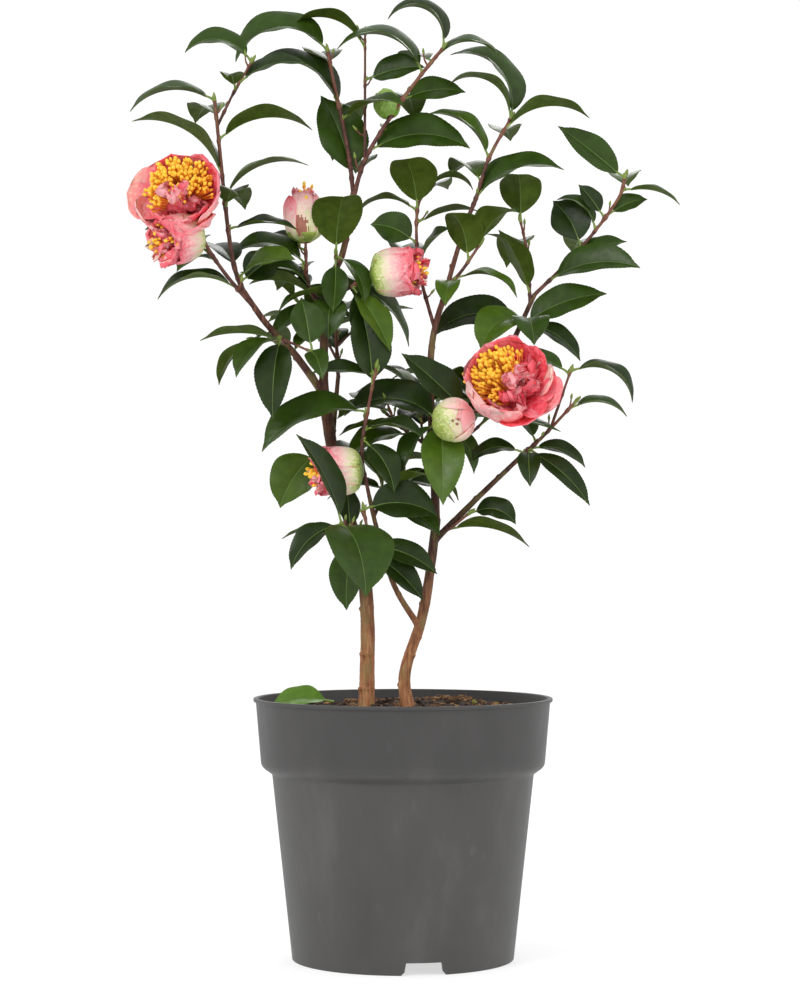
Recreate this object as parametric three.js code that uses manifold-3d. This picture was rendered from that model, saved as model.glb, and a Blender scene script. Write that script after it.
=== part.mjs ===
// A young camellia shrub in its nursery pot: two bare stems that rise from the potting soil,
// their boughs, and foliage masses of twigs, leaves, buds and blossoms that spring from them.
// Millimetres, +Z up, origin on the pot's axis where the pot stands, front towards -Y.
import * as THREE from "three";
import { mergeVertices } from "three/addons/utils/BufferGeometryUtils.js";
import Module from "manifold-3d";

const wasm = await Module();
wasm.setup();

// ---------------------------------------------------------------- driving sizes
const CLEAR = 0.3; // the gap left between two neighbouring pieces

const POT = {
  height: 200,
  rim: 115, // outer radii, from the rim down to the foot
  collarTop: 113,
  collarFoot: 109.2,
  bodyTop: 100.5,
  foot: 85,
  lip: 3,
  collar: 51, // height of the collar, lip included
  shoulder: 7, // height of the step between collar and body
  wall: 1.8,
  baseAt: 10, // underside of the raised base
  base: 2.4,
  ring: 3.2, // wall thickness of the foot ring
  facets: 40,
};
const NOTCH = { count: 3, first: -79.5, mouth: 36, top: 27, height: 9.5 };
const SOIL = { top: 189, edge: 187 };

const STALK = { length: 7, width: 1.8 };
const LEAF = { slender: 0.5, thick: 1.2, fold: 20, widest: 0.42, fullness: 1.9 };
const STATIONS = { flat: [0.27, 0.68], arched: [0.2, 0.47, 0.78], archedFrom: 80 };
// How a leaf may turn, in heading and rise, until it is clear of its neighbours.
const TURNS = [
  [0, 0], [7, 0], [-7, 0], [0, 8], [0, -8], [14, 0], [-14, 0],
  [8, 12], [-8, 12], [8, -12], [-8, -12], [22, 0], [-22, 0], [15, 15],
  [-15, 15], [15, -15], [-15, -15], [30, 8], [-30, 8], [0, 22], [0, -22],
];
const TWIG = { sides: 3, pace: 24, tip: 0.7, shoot: 1.2 }; // facets, millimetres a step, taper
const LIMB = { sides: 8, pace: 16, sunk: 4, flareOver: 14 };
const TURN = 137.5; // degrees from one leaf to the next round a twig
const GROWN = { leaves: 4 }; // leaves on a shoot of the seeded rule

// ---------------------------------------------------------------- the plant
// A heading turns from +X (0) towards the back, +Y (90); a rise is up from level; both in degrees.
// A leg is [length, heading, rise]. A place on a limb or twig is counted in legs from its root.
const LIMBS = {
  left_stem: {
    foot: [-28, 0],
    legs: [[90, 90, 88], [53, 165, 78], [50, 165, 74], [66, 175, 81]],
    radii: [5.8, 4.3],
    flare: 1.8,
  },
  right_stem: {
    foot: [4.6, 0],
    legs: [
      [34, 180, 85], [48, 10, 73], [58, 20, 81], [29, 20, 88],
      [111, 150, 88], [60, 20, 76], [46, 20, 73],
    ],
    radii: [4.6, 1.7],
    flare: 1.5,
  },
  left_bough: {
    limb: "left_stem",
    at: 3.9,
    legs: [[40, 205, 51], [33, 205, 44], [31, 205, 53]],
    radii: [3.2, 1.9],
  },
  centre_bough: {
    limb: "left_stem",
    at: 3.92,
    legs: [[76, 60, 87], [37, 20, 68], [47, 20, 80]],
    radii: [3.6, 2.0],
  },
  right_bough: {
    limb: "right_stem",
    at: 4.2,
    legs: [[76, 24, 55], [92, 20, 63]],
    radii: [2.8, 1.8],
  },
  low_right_bough: {
    limb: "right_stem",
    at: 2.95,
    legs: [[50, -20, 43], [46, -20, 42]],
    radii: [2.6, 1.7],
  },
  inner_bough: {
    limb: "right_stem",
    at: 1.78,
    legs: [[39, 208, 56], [46, 208, 71], [26, 200, 76]],
    radii: [2.4, 1.6],
  },
  back_left_bough: {
    limb: "left_stem",
    at: 3.3,
    legs: [[38, 85, 50], [30, 80, 65]],
    radii: [2.4, 1.6],
  },
  back_right_bough: {
    limb: "right_stem",
    at: 4.05,
    legs: [[22, 65, 38], [19, 58, 45]],
    radii: [2.4, 1.6],
  },
};

// A mass is a stem, whose place is on a limb, and shoots, whose places are on the stem. Each has
// legs and leaves. A leaf is [place, heading, rise, length, lean, droop, slenderness]: lean tips
// its upper face to the front, and droop is how far it turns down along its length. A blossom is
// [kind, place, heading, rise]. The numbers of backing leaves and of grown shoots are what the
// seeded rule adds.
const MASSES = {
  foliage_left_top: {
    limb: "left_bough",
    at: 3,
    seed: 11,
    legs: [[19, 180, 70], [34, 180, 81], [58, 175, 84], [35, 175, 84]],
    radius: 1.8,
    leaves: [
      [4, 180, 29, 65, 15, 80],
      [2.6, 180, 68, 82, 5, 80],
      [3.1, 0, 42, 72, -5, 78],
      [2.35, 5, 55, 68, 5, 75],
      [2.2, -75, 35, 44, 0, 70, 0.6],
      [1.85, 0, 20, 48, 15, 45],
      [0.5, -30, 35, 48, 40, 50, 0.62],
      [0.25, 30, 42, 34, 60, 20, 0.8],
    ],
    shoots: [
      {
        at: 3.4,
        legs: [[28, 0, 64], [27, 0, 60]],
        leaves: [
          [2, 180, 55, 54, 35, 105],
          [1.3, 0, 42, 52, 30, 60],
          [1.1, -95, 30, 36, 0, 60],
        ],
      },
    ],
    backing: 3,
  },
  foliage_left_bloom: {
    limb: "left_bough",
    at: 2.4,
    seed: 12,
    legs: [[36, -142, 42], [28, 195, 55], [34, 180, 62]],
    radius: 1.7,
    leaves: [
      [2.2, 170, 15, 56, 0, 30],
      [0.6, 190, 30, 62, 15, 85],
      [1.5, 140, 20, 44, 0, 60],
    ],
    blossoms: [
      ["open", 3, -98, 18],
      ["opening", 2.3, 217, -14],
    ],
    backing: 1,
  },
  foliage_left_low: {
    limb: "left_bough",
    at: 1.3,
    seed: 13,
    legs: [[16, -100, 10]],
    radius: 1.6,
    leaves: [
      [0.5, 180, 18, 58, 0, 40],
      [0.75, -130, -5, 56, 0, 60],
      [1, -100, -45, 64, 0, 50],
    ],
    shoots: [
      {
        at: 1,
        legs: [[26, -8, -24]],
        leaves: [
          [1, 125, 78, 38, 15, 15, 0.8],
          [0.9, -70, -10, 38, 20, 60],
        ],
      },
      {
        at: 0.4,
        legs: [[22, 170, 5]],
        leaves: [
          [1, 150, -20, 44, 0, 60],
          [1, 70, 20, 58, 0, 60],
        ],
      },
    ],
  },
  foliage_top_left: {
    limb: "centre_bough",
    at: 3,
    seed: 14,
    legs: [[28, 170, 83], [32, 165, 79], [28, 165, 77], [24, 165, 79]],
    radius: 1.8,
    leaves: [
      [4, 180, 50, 84, 30, 122],
      [2.2, 180, 72, 84, 25, 105],
      [0.4, 150, 77, 66, 38, 22, 0.64],
      [1.9, -24, 26, 66, 20, 50, 0.34],
    ],
    backing: 3,
  },
  foliage_top_right: {
    limb: "centre_bough",
    at: 2.68,
    seed: 15,
    legs: [[42, -25, 72], [46, -15, 57], [25, -12, 53], [33, -10, 50]],
    radius: 1.8,
    leaves: [
      [3.25, 180, 70, 77, 20, 117],
      [1.5, 60, 25, 46, 0, 50],
      [1.15, 0, 30, 76, 50, 62, 0.5],
      [4, 180, 95, 62, 20, 150],
      [2.25, 20, 25, 48, 55, 35],
      [3.75, 0, 42, 50, 20, 95],
    ],
    blossoms: [["green", 1.8, 120, 62]],
    shoots: [
      {
        at: 0.98,
        legs: [[104, 90, 80]],
        leaves: [
          [0.88, 180, 52, 60, 0, 92],
          [0.62, -20, 22, 44, 62, 30, 0.6],
        ],
      },
    ],
    backing: 3,
  },
  foliage_centre_left: {
    limb: "centre_bough",
    at: 0.85,
    seed: 16,
    legs: [[20, 185, 50], [34, 178, 86]],
    radius: 1.5,
    leaves: [
      [1.5, 182, 72, 60, 25, 95],
      [0.6, 190, 60, 56, 25, 105],
      [0.4, 165, 40, 54, -10, 60],
      [0.9, 120, 30, 52, 0, 60],
      [0.3, 205, -25, 44, 30, 30],
      [1.8, 150, 40, 44, 30, 30, 0.5],
    ],
    blossoms: [["bud", 2, 150, 86]],
    backing: 1,
  },
  foliage_centre_upper: {
    limb: "centre_bough",
    at: 1.6,
    seed: 17,
    legs: [[14, -90, 40]],
    radius: 1.5,
    leaves: [
      [1, -95, 76, 58, 0, 78, 0.72],
      [0.8, -30, -5, 46, 0, 70],
      [0.7, -95, -66, 42, 0, -5, 0.52],
    ],
  },
  foliage_centre_bloom: {
    limb: "centre_bough",
    at: 0.95,
    seed: 18,
    legs: [[22, -40, 15], [22, -10, 32]],
    radius: 1.6,
    leaves: [
      [0.3, -95, -5, 38, 0, 75, 0.75],
      [0.5, -150, 20, 46, 0, 60],
      [1.2, -38, -42, 58, 20, 25, 0.44],
      [1.7, -60, -55, 52, 20, 20, 0.6],
      [1.4, 20, -25, 60, 35, 50],
    ],
    blossoms: [["opening", 2, -8, 4]],
    backing: 1,
  },
  foliage_centre_top: {
    limb: "right_stem",
    at: 5.3,
    seed: 19,
    legs: [[50, 140, 72], [45, 110, 84], [22, 10, 68]],
    radius: 1.5,
    leaves: [
      [2.05, -105, 76, 50, 0, 78, 0.8],
      [1.15, -40, 48, 32, 35, 30, 0.75],
      [1.4, 175, 42, 34, 70, 45, 0.8],
      [2.9, 0, 40, 36, 0, 100],
      [2.0, 170, 40, 46, 0, 90],
      [1.75, 0, 30, 44, 0, 40],
    ],
    backing: 2,
  },
  foliage_right_top: {
    limb: "right_stem",
    at: 7,
    seed: 20,
    legs: [[26, 10, 68], [24, 10, 73], [18, 10, 65], [24, 10, 60]],
    radius: 1.7,
    leaves: [
      [4, 175, 100, 78, 25, 115],
      [4, 184, 92, 64, 10, 126],
      [3.6, 0, 46, 68, 0, 84],
      [2.3, 180, 65, 58, 20, 80],
      [0.9, 0, 53, 72, 30, 77],
    ],
    backing: 2,
  },
  foliage_right_inner: {
    limb: "right_stem",
    at: 5.9,
    seed: 21,
    legs: [[20, -20, 48], [22, -10, 55]],
    radius: 1.5,
    leaves: [
      [2, -50, 58, 48, 0, 75, 0.7],
      [0.5, -10, 20, 50, 10, 85],
      [1.3, -115, 72, 46, 0, 78, 0.7],
      [0.4, -100, -5, 40, 0, 60],
    ],
    backing: 1,
  },
  foliage_right_outer: {
    limb: "right_bough",
    at: 2,
    seed: 22,
    legs: [[40, 10, 44], [38, 0, 50], [26, -5, 56], [13, 0, 75]],
    radius: 1.6,
    leaves: [
      [4, 182, 42, 60, 70, 8, 0.42],
      [3.2, -5, 10, 42, 10, 55],
      [0.4, -25, 28, 72, 50, 50, 0.5],
      [2.1, 165, 62, 28, 60, 20, 0.6],
      [2.2, 10, 35, 30, 60, 30, 0.55],
      [1.3, 150, 75, 40, 60, 40, 0.8],
      [1.75, 180, 72, 38, 30, 95],
      [1.0, -20, 30, 40, 40, 30],
    ],
    backing: 2,
  },
  foliage_right_middle: {
    limb: "right_bough",
    at: 1.9,
    seed: 23,
    legs: [[24, 95, 80], [22, 175, 84], [20, 180, 78]],
    radius: 1.3,
    leaves: [
      [3, -95, 74, 46, 0, 72, 0.78],
      [1.0, 180, 68, 42, 0, 55],
      [0.35, -150, 82, 52, 0, 30],
    ],
    backing: 1,
  },
  foliage_right_lower: {
    limb: "right_bough",
    at: 1.68,
    seed: 24,
    legs: [[18, -70, 15]],
    radius: 1.5,
    leaves: [
      [0.5, 0, 36, 64, 50, 35, 0.5],
      [1, -140, 10, 54, 30, 85, 0.6],
      [0.9, -85, 0, 46, 0, 80, 0.65],
      [0.7, -15, -15, 48, 35, 45],
      [0.25, 182, 30, 68, 45, 80, 0.5],
    ],
  },
  foliage_low_right: {
    limb: "low_right_bough",
    at: 2,
    seed: 25,
    legs: [[25, -20, 41], [33, -15, 46]],
    radius: 1.5,
    leaves: [
      [1.8, 0, 25, 42, 15, 75],
      [0.32, -5, 12, 42, 40, 70, 0.36],
      [0.3, -25, -27, 60, 40, 30, 0.32],
      [0.3, -90, -20, 36, 0, 60],
      [0.6, 120, 60, 40, 0, 40],
      [0.1, 195, 25, 40, 40, 80, 0.45],
    ],
    shoots: [
      {
        at: 1.2,
        legs: [[46, 15, 70]],
        leaves: [
          [1, -10, 20, 56, 10, 105],
          [0.95, 175, 40, 48, 30, 70],
          [0.6, 150, 10, 42, 0, 60],
        ],
      },
    ],
  },
  foliage_low_front: {
    limb: "low_right_bough",
    at: 0.3,
    seed: 30,
    legs: [[10, -80, -5], [18, -15, 38]],
    radius: 1.3,
    leaves: [
      [0.4, -4, 10, 60, -15, 50],
      [2, -20, 20, 36, 45, 75, 0.6],
    ],
  },
  foliage_right_bloom: {
    limb: "right_stem",
    at: 4.55,
    seed: 26,
    legs: [[34, -65, 3], [53, -9, 17]],
    radius: 1.7,
    leaves: [
      [0.65, -88, -42, 68, 0, 45],
      [0.5, 185, 45, 76, 40, 90],
      [1.3, 172, 48, 62, 45, 12, 0.52],
      [1.2, 0, 0, 70, 10, 20],
      [0.4, 215, -30, 50, 0, 50],
      [0.8, -20, -30, 42, 30, 50, 0.4],
    ],
    blossoms: [
      ["open", 2, -108, 32],
      ["round", 1, -85, -5],
    ],
  },
  foliage_low_left: {
    limb: "left_stem",
    at: 1.9,
    seed: 27,
    legs: [[62, -98, 10]],
    radius: 1.6,
    leaves: [
      [1, 196, 76, 70, 40, 30],
      [0.15, 175, 20, 50, 0, 50],
      [0.1, 200, -78, 50, 60, 15, 0.6],
      [1, 206, -12, 50, 35, 62, 0.45],
      [0.3, 110, 88, 34, 0, 6, 0.5],
      [1, -68, -14, 72, 0, 72, 0.76],
    ],
  },
  foliage_inner: {
    limb: "inner_bough",
    at: 3,
    seed: 28,
    legs: [[32, 190, 80], [35, 0, 82], [32, 0, 79]],
    radius: 1.5,
    leaves: [
      [2.5, 140, 80, 62, 30, 22, 0.56],
      [2.8, 185, 15, 42, 30, 30],
      [1.9, 190, 12, 86, 25, 70],
      [1.3, -40, -30, 46, 30, 50],
      [1.5, -30, 20, 48, 20, 60],
    ],
    blossoms: [["opening", 0.6, 188, 0]],
  },
  foliage_inner_low: {
    limb: "inner_bough",
    at: 1.45,
    seed: 29,
    legs: [[16, -130, 15], [34, -150, 78]],
    radius: 1.5,
    leaves: [
      [2, 0, 22, 52, 60, 60, 0.7],
      [1.25, -5, -5, 50, 45, 40],
      [0.97, -12, -28, 46, 50, 30],
    ],
  },
  foliage_left_inner: {
    limb: "left_stem",
    at: 3.15,
    seed: 34,
    legs: [[15, 150, 20]],
    radius: 1.4,
    leaves: [
      [1, 196, -40, 47, 60, 35, 0.8],
      [0.5, 40, 20, 44, 20, 50],
    ],
  },
  foliage_inner_back: {
    limb: "inner_bough",
    at: 2.3,
    seed: 35,
    legs: [[22, 75, 30], [24, 60, 45]],
    radius: 1.5,
    leaves: [
      [1, -20, -10, 50, 30, 40, 0.6],
      [1.6, 190, 10, 46, 20, 60],
      [2, 10, 5, 52, 30, 50, 0.6],
    ],
    grown: 2,
  },
  foliage_back_middle: {
    limb: "right_stem",
    at: 4.4,
    seed: 36,
    legs: [[24, 140, 25], [26, 165, 40]],
    radius: 1.5,
    leaves: [
      [1, -150, 5, 54, 20, 50, 0.6],
      [2, 120, 40, 52, 20, 50, 0.6],
    ],
    grown: 3,
  },
  foliage_back_left: {
    limb: "back_left_bough",
    at: 2,
    seed: 31,
    legs: [[26, 100, 72], [26, 100, 78]],
    radius: 1.6,
    leaves: [],
    grown: 3,
    backing: 2,
  },
  foliage_back_right: {
    limb: "back_right_bough",
    at: 2,
    seed: 33,
    legs: [[24, 50, 50], [22, 60, 55]],
    radius: 1.6,
    leaves: [],
    grown: 3,
    backing: 2,
  },
};

// A blossom is a lobed cup about its own axis: [radius, height] from its stalk over the rim, where
// the lobes are deepest, to the middle of its mouth.
const BLOSSOMS = {
  open: {
    profile: [[4, 0], [17, 5], [31, 15], [38, 28], [33, 26], [21, 14], [16, 20], [11, 27]],
    top: 29,
    rim: 3,
    lobes: 7,
  },
  opening: {
    profile: [[4, 0], [15, 5], [19, 17], [18, 30], [20, 42], [14, 38]],
    top: 40,
    rim: 4,
    lobes: 6,
  },
  bud: { profile: [[4, 0], [12, 5], [15, 19], [12, 33], [7, 42]], top: 45, rim: 4, lobes: 5 },
  round: { profile: [[4, 0], [13, 5], [17, 17], [12, 29]], top: 33, rim: 2, lobes: 5 },
  green: { profile: [[3, 0], [8, 4], [11, 13], [7, 23]], top: 27, rim: 2, lobes: 5 },
};
const LOBE = { depth: 0.08, facets: 2 }; // share of the radius, and facets to a lobe's half

// ---------------------------------------------------------------- solids
const radians = THREE.MathUtils.degToRad;

function direction(heading, rise) {
  const level = Math.cos(radians(rise));
  return new THREE.Vector3(
    level * Math.cos(radians(heading)),
    level * Math.sin(radians(heading)),
    Math.sin(radians(rise)),
  );
}

// The smooth line that is walked from start, a leg at a time.
function walk(start, legs) {
  const stops = [start];
  for (const [length, heading, rise] of legs)
    stops.push(stops.at(-1).clone().addScaledVector(direction(heading, rise), length));
  return new THREE.CatmullRomCurve3(stops, false, "catmullrom", 0.5);
}

function placeOn(line, place) {
  return line.getPoint(place / (line.points.length - 1));
}

// A closed skin over a run of rings, which all turn the same way; the last may be one point.
function skin(rings) {
  const places = [];
  const faces = [];
  const first = rings.map((ring) => places.push(...ring) - ring.length);
  for (let k = 1; k < rings.length; k++) {
    const [a, b, n] = [first[k - 1], first[k], rings[k - 1].length];
    for (let i = 0; i < n; i++) {
      const j = (i + 1) % n;
      if (rings[k].length === 1) faces.push([a + i, a + j, b]);
      else faces.push([a + i, a + j, b + j], [a + i, b + j, b + i]);
    }
  }
  const last = rings.at(-1).length;
  for (let i = 1; i + 1 < rings[0].length; i++) faces.push([0, i + 1, i]);
  const end = first.at(-1);
  for (let i = 1; i + 1 < last; i++) faces.push([end, end + i, end + i + 1]);
  const geometry = new THREE.BufferGeometry().setFromPoints(places);
  return geometry.setIndex(faces.flat());
}

function solidOf(geometry) {
  const bare = geometry.clone();
  bare.deleteAttribute("normal");
  bare.deleteAttribute("uv");
  const merged = mergeVertices(bare, 1e-4);
  return new wasm.Manifold(
    new wasm.Mesh({
      numProp: 3,
      vertProperties: new Float32Array(merged.attributes.position.array),
      triVerts: new Uint32Array(merged.index.array),
    }),
  );
}

function geometryOf(solid) {
  const mesh = solid.getMesh();
  const geometry = new THREE.BufferGeometry();
  geometry.setAttribute("position", new THREE.BufferAttribute(mesh.vertProperties, 3));
  geometry.setIndex(new THREE.BufferAttribute(mesh.triVerts, 1));
  return geometry;
}

// The largest connected body: loose scraps go, and sealed hollows are filled.
function largest(solid) {
  return solid.decompose().reduce((best, piece) => (piece.volume() > best.volume() ? piece : best));
}

// A round limb along a line; radiusAt takes the share walked.
function tube(line, radiusAt, sides, steps) {
  const rings = [];
  let side = new THREE.Vector3(1, 0, 0);
  for (let k = 0; k <= steps; k++) {
    const along = line.getTangent(k / steps);
    side = side.addScaledVector(along, -side.dot(along)).normalize();
    const across = along.clone().cross(side);
    const centre = line.getPoint(k / steps);
    const ring = [];
    for (let i = 0; i < sides; i++) {
      const turn = (2 * Math.PI * i) / sides;
      const out = side.clone().multiplyScalar(Math.cos(turn)).addScaledVector(across, Math.sin(turn));
      ring.push(centre.clone().addScaledVector(out, radiusAt(k / steps)));
    }
    rings.push(ring);
  }
  return skin(rings);
}

// How wide a blade is at a share of its length, against its greatest width.
function breadth(share) {
  const { widest, fullness } = LEAF;
  const rising = (share / widest) ** widest;
  const falling = ((1 - share) / (1 - widest)) ** (1 - widest);
  return (rising * falling) ** fullness;
}

function turnedLeaf(leaf, heading, rise) {
  const turned = { ...leaf, heading: leaf.heading + heading, rise: leaf.rise + rise };
  const along = direction(turned.heading, turned.rise);
  turned.base = leaf.root.clone().addScaledVector(along, STALK.length);
  return turned;
}

// Where a blade's midrib is after a share of its length, and which way it goes there.
function midrib(leaf, share) {
  const { base, heading, rise, droop, length } = leaf;
  const [from, turn] = [radians(rise), radians(droop) || 1e-6];
  const to = from - turn * share;
  const level = (length * (Math.sin(from) - Math.sin(to))) / turn;
  const up = (length * (Math.cos(to) - Math.cos(from))) / turn;
  const centre = base.clone().addScaledVector(direction(heading, 0), level);
  centre.z += up;
  return { centre, along: direction(heading, rise - droop * share) };
}

// A folded, arching blade with or without its stalk, as a closed skin grown on all sides.
function blade(leaf, grow, stalked) {
  const stations = leaf.droop < STATIONS.archedFrom ? STATIONS.flat : STATIONS.arched;
  const across = direction(leaf.heading - 90, 0);
  const roll = radians(leaf.lean) * (Math.cos(radians(leaf.heading)) < 0 ? -1 : 1);
  const fold = radians(LEAF.fold);
  const half = LEAF.thick / 2 + grow;
  const ringAt = (share, reach) => {
    const { centre, along } = midrib(leaf, share);
    const flat = across.clone();
    const up = flat.clone().cross(along);
    const side = flat.clone().multiplyScalar(Math.cos(roll)).addScaledVector(up, -Math.sin(roll));
    const top = up.clone().multiplyScalar(Math.cos(roll)).addScaledVector(flat, Math.sin(roll));
    const edge = (way) =>
      centre
        .clone()
        .addScaledVector(side, way * reach * Math.cos(fold))
        .addScaledVector(top, reach * Math.sin(fold));
    const rib = (way) => centre.clone().addScaledVector(top, way * half);
    return [edge(1), rib(-1), edge(-1), rib(1)];
  };
  const rings = [];
  if (stalked) {
    const ring = ringAt(0, STALK.width / 2 + grow);
    const back = midrib(leaf, 0).along.multiplyScalar(-STALK.length);
    rings.push(ring.map((point) => point.clone().add(back)), ring);
  }
  for (const share of stations)
    rings.push(ringAt(share, (leaf.width / 2) * breadth(share) + grow));
  rings.push([midrib(leaf, 1).centre]);
  return skin(rings);
}

// ---------------------------------------------------------------- the pot and its soil
function turned(profile) {
  const points = profile.map(([radius, height]) => new THREE.Vector2(radius, height));
  return new THREE.LatheGeometry(points, POT.facets).rotateX(Math.PI / 2);
}

function potSolid() {
  const { height, lip, wall, baseAt } = POT;
  const collarAt = height - POT.collar;
  const stepAt = collarAt - POT.shoulder;
  const slope = (POT.bodyTop - POT.foot) / stepAt;
  const bodyAt = (z) => POT.foot + slope * z;
  const floor = baseAt + POT.base;
  const shell = turned([
    [0, baseAt],
    [bodyAt(baseAt) - POT.ring, baseAt],
    [POT.foot - POT.ring, 0],
    [POT.foot, 0],
    [POT.bodyTop, stepAt],
    [POT.bodyTop + 1.5, stepAt + 1],
    [POT.collarFoot - 2.2, collarAt - 2.4],
    [POT.collarFoot - 0.5, collarAt],
    [POT.collarFoot, collarAt + 2.5],
    [POT.collarTop, height - lip],
    [POT.rim, height - lip + 0.4],
    [POT.rim, height],
    [POT.collarTop - wall, height],
    [POT.collarFoot - wall, collarAt + 2],
    [POT.bodyTop - wall, stepAt + 2.5],
    [bodyAt(floor) - wall, floor],
    [0, floor],
  ]);
  let pot = solidOf(shell);
  for (let k = 0; k < NOTCH.count; k++) {
    const heading = NOTCH.first + (360 / NOTCH.count) * k;
    pot = pot.subtract(solidOf(notch(heading)));
  }
  return pot;
}

// The prism that opens one drainage notch in the foot ring.
function notch(heading) {
  const [mouth, top] = [NOTCH.mouth / 2, NOTCH.top / 2];
  const outline = new THREE.Shape([
    new THREE.Vector2(-mouth, -1),
    new THREE.Vector2(mouth, -1),
    new THREE.Vector2(top + 1, NOTCH.height * 0.3),
    new THREE.Vector2(top, NOTCH.height),
    new THREE.Vector2(-top, NOTCH.height),
    new THREE.Vector2(-top - 1, NOTCH.height * 0.3),
  ]);
  const depth = 20;
  return new THREE.ExtrudeGeometry(outline, { depth, bevelEnabled: false })
    .rotateX(Math.PI / 2)
    .rotateZ(Math.PI / 2)
    .translate(POT.foot - depth / 2, 0, 0)
    .rotateZ(radians(heading));
}

function soilSolid() {
  const collarAt = POT.height - POT.collar;
  const stepAt = collarAt - POT.shoulder;
  const inset = POT.wall + CLEAR + 0.2;
  const floor = POT.baseAt + POT.base + CLEAR;
  const slope = (POT.bodyTop - POT.foot) / stepAt;
  const rise = (POT.collarTop - POT.collarFoot) / POT.collar;
  return solidOf(
    turned([
      [0, floor],
      [POT.foot + slope * floor - inset, floor],
      [POT.bodyTop - inset, stepAt + 2.5],
      [POT.collarFoot - inset, collarAt + 2.5],
      [POT.collarFoot + rise * (SOIL.edge - collarAt) - inset, SOIL.edge],
      [POT.rim * 0.7, SOIL.top],
      [0, SOIL.top],
    ]),
  );
}

// ---------------------------------------------------------------- limbs
const lines = {};
const radiusOf = {};
for (const [name, limb] of Object.entries(LIMBS)) {
  const ground = SOIL.top + CLEAR;
  const start = limb.foot
    ? new THREE.Vector3(...limb.foot, ground - LIMB.sunk)
    : placeOn(lines[limb.limb], limb.at);
  lines[name] = walk(start, limb.legs);
  const [root, tip] = limb.radii;
  const size = lines[name].getLength();
  radiusOf[name] = (share) => {
    const flare = (limb.flare ?? 0) * Math.exp((-share * size) / LIMB.flareOver);
    return THREE.MathUtils.lerp(root, tip, share) + flare;
  };
}

function limbSolid(name, grow = 0) {
  const line = lines[name];
  const steps = Math.round(line.getLength() / LIMB.pace);
  return solidOf(tube(line, (share) => radiusOf[name](share) + grow, LIMB.sides, steps));
}

// Everything below the stems' flat foot.
const underground = solidOf(new THREE.BoxGeometry(300, 300, 40).translate(0, 0, SOIL.top + CLEAR - 20));

const limbs = {};
const keepOut = {};
for (const name of Object.keys(LIMBS)) {
  let solid = limbSolid(name).subtract(underground);
  for (const other of Object.keys(limbs)) solid = solid.subtract(keepOut[other]);
  limbs[name] = largest(solid);
  keepOut[name] = limbSolid(name, CLEAR);
}

// ---------------------------------------------------------------- foliage
// mulberry32: the same seed always gives the same run of numbers from 0 to 1.
function seeded(seed) {
  let state = seed;
  return () => {
    state = (state + 0x6d2b79f5) | 0;
    let t = Math.imul(state ^ (state >>> 15), 1 | state);
    t = (t + Math.imul(t ^ (t >>> 7), 61 | t)) ^ t;
    return ((t ^ (t >>> 14)) >>> 0) / 4294967296;
  };
}

// The shoots of a mass, its stem first: each a line with a radius and its leaves.
function shootsOf(mass) {
  const random = seeded(mass.seed);
  const between = (low, high) => low + (high - low) * random();
  const stem = walk(placeOn(lines[mass.limb], mass.at), mass.legs);
  const shoots = [{ line: stem, radius: mass.radius, leaves: [] }];
  const addShoot = (at, legs) => {
    const shoot = { line: walk(placeOn(stem, at), legs), radius: TWIG.shoot, leaves: [] };
    shoots.push(shoot);
    return shoot;
  };
  const addLeaf = (shoot, [at, heading, rise, length, lean, droop, slender], grown) => {
    const root = placeOn(shoot.line, Math.min(at, shoot.line.points.length - 1));
    const width = length * ((slender ?? LEAF.slender) + between(-0.03, 0.05));
    shoot.leaves.push({ root, heading, rise, length, lean, droop, width, grown });
  };
  for (const leaf of mass.leaves) addLeaf(shoots[0], leaf, false);
  for (const { at, legs, leaves } of mass.shoots ?? []) {
    const shoot = addShoot(at, legs);
    for (const leaf of leaves) addLeaf(shoot, leaf, false);
  }
  const first = between(0, 360);
  for (let k = 0; k < (mass.grown ?? 0); k++) {
    const heading = first + TURN * k;
    const legs = [
      [between(20, 28), heading, between(20, 50)],
      [between(12, 20), heading, between(50, 75)],
    ];
    const shoot = addShoot((mass.legs.length * (k + 1)) / (mass.grown + 1), legs);
    for (let i = 0; i < GROWN.leaves; i++) {
      const [rise, length, droop] = [between(10, 55), between(42, 54), between(40, 80)];
      addLeaf(shoot, [0.6 + 0.45 * i, heading + TURN * i, rise, length, 0, droop], true);
    }
  }
  for (let k = 0; k < (mass.backing ?? 0); k++) {
    const heading = 90 + (k % 2 ? -1 : 1) * between(5, 32);
    const [rise, length, droop] = [between(15, 55), between(50, 62), between(40, 85)];
    const at = (mass.legs.length * (k + 0.7)) / mass.backing;
    addLeaf(shoots[0], [at, heading, rise, length, 0, droop], true);
  }
  return shoots;
}

function twigSolid({ line, radius }, grow = 0) {
  const steps = Math.max(2, Math.round(line.getLength() / TWIG.pace));
  const radiusAt = (share) => THREE.MathUtils.lerp(radius, TWIG.tip * radius, share) + grow;
  return solidOf(tube(line, radiusAt, TWIG.sides, steps));
}

// A blossom or bud, built upright on its stalk's tip and then turned along its heading and rise.
function blossomSolid([kind, place, heading, rise], line) {
  const { profile, top, rim, lobes } = BLOSSOMS[kind];
  const facets = lobes * LOBE.facets;
  const rings = profile.map(([radius, height], k) => {
    const lobe = LOBE.depth * Math.max(0, 1 - Math.abs(k - rim) / 2);
    return Array.from({ length: facets }, (_, i) => {
      const turn = (2 * Math.PI * i) / facets;
      const out = radius * (1 + lobe * (i % LOBE.facets ? 1 : -1));
      return new THREE.Vector3(out * Math.cos(turn), out * Math.sin(turn), height);
    });
  });
  rings.push([new THREE.Vector3(0, 0, top)]);
  const turn = new THREE.Matrix4()
    .makeTranslation(placeOn(line, place))
    .multiply(new THREE.Matrix4().makeRotationZ(radians(heading)))
    .multiply(new THREE.Matrix4().makeRotationY(radians(90 - rise)));
  return solidOf(skin(rings).applyMatrix4(turn));
}

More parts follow.
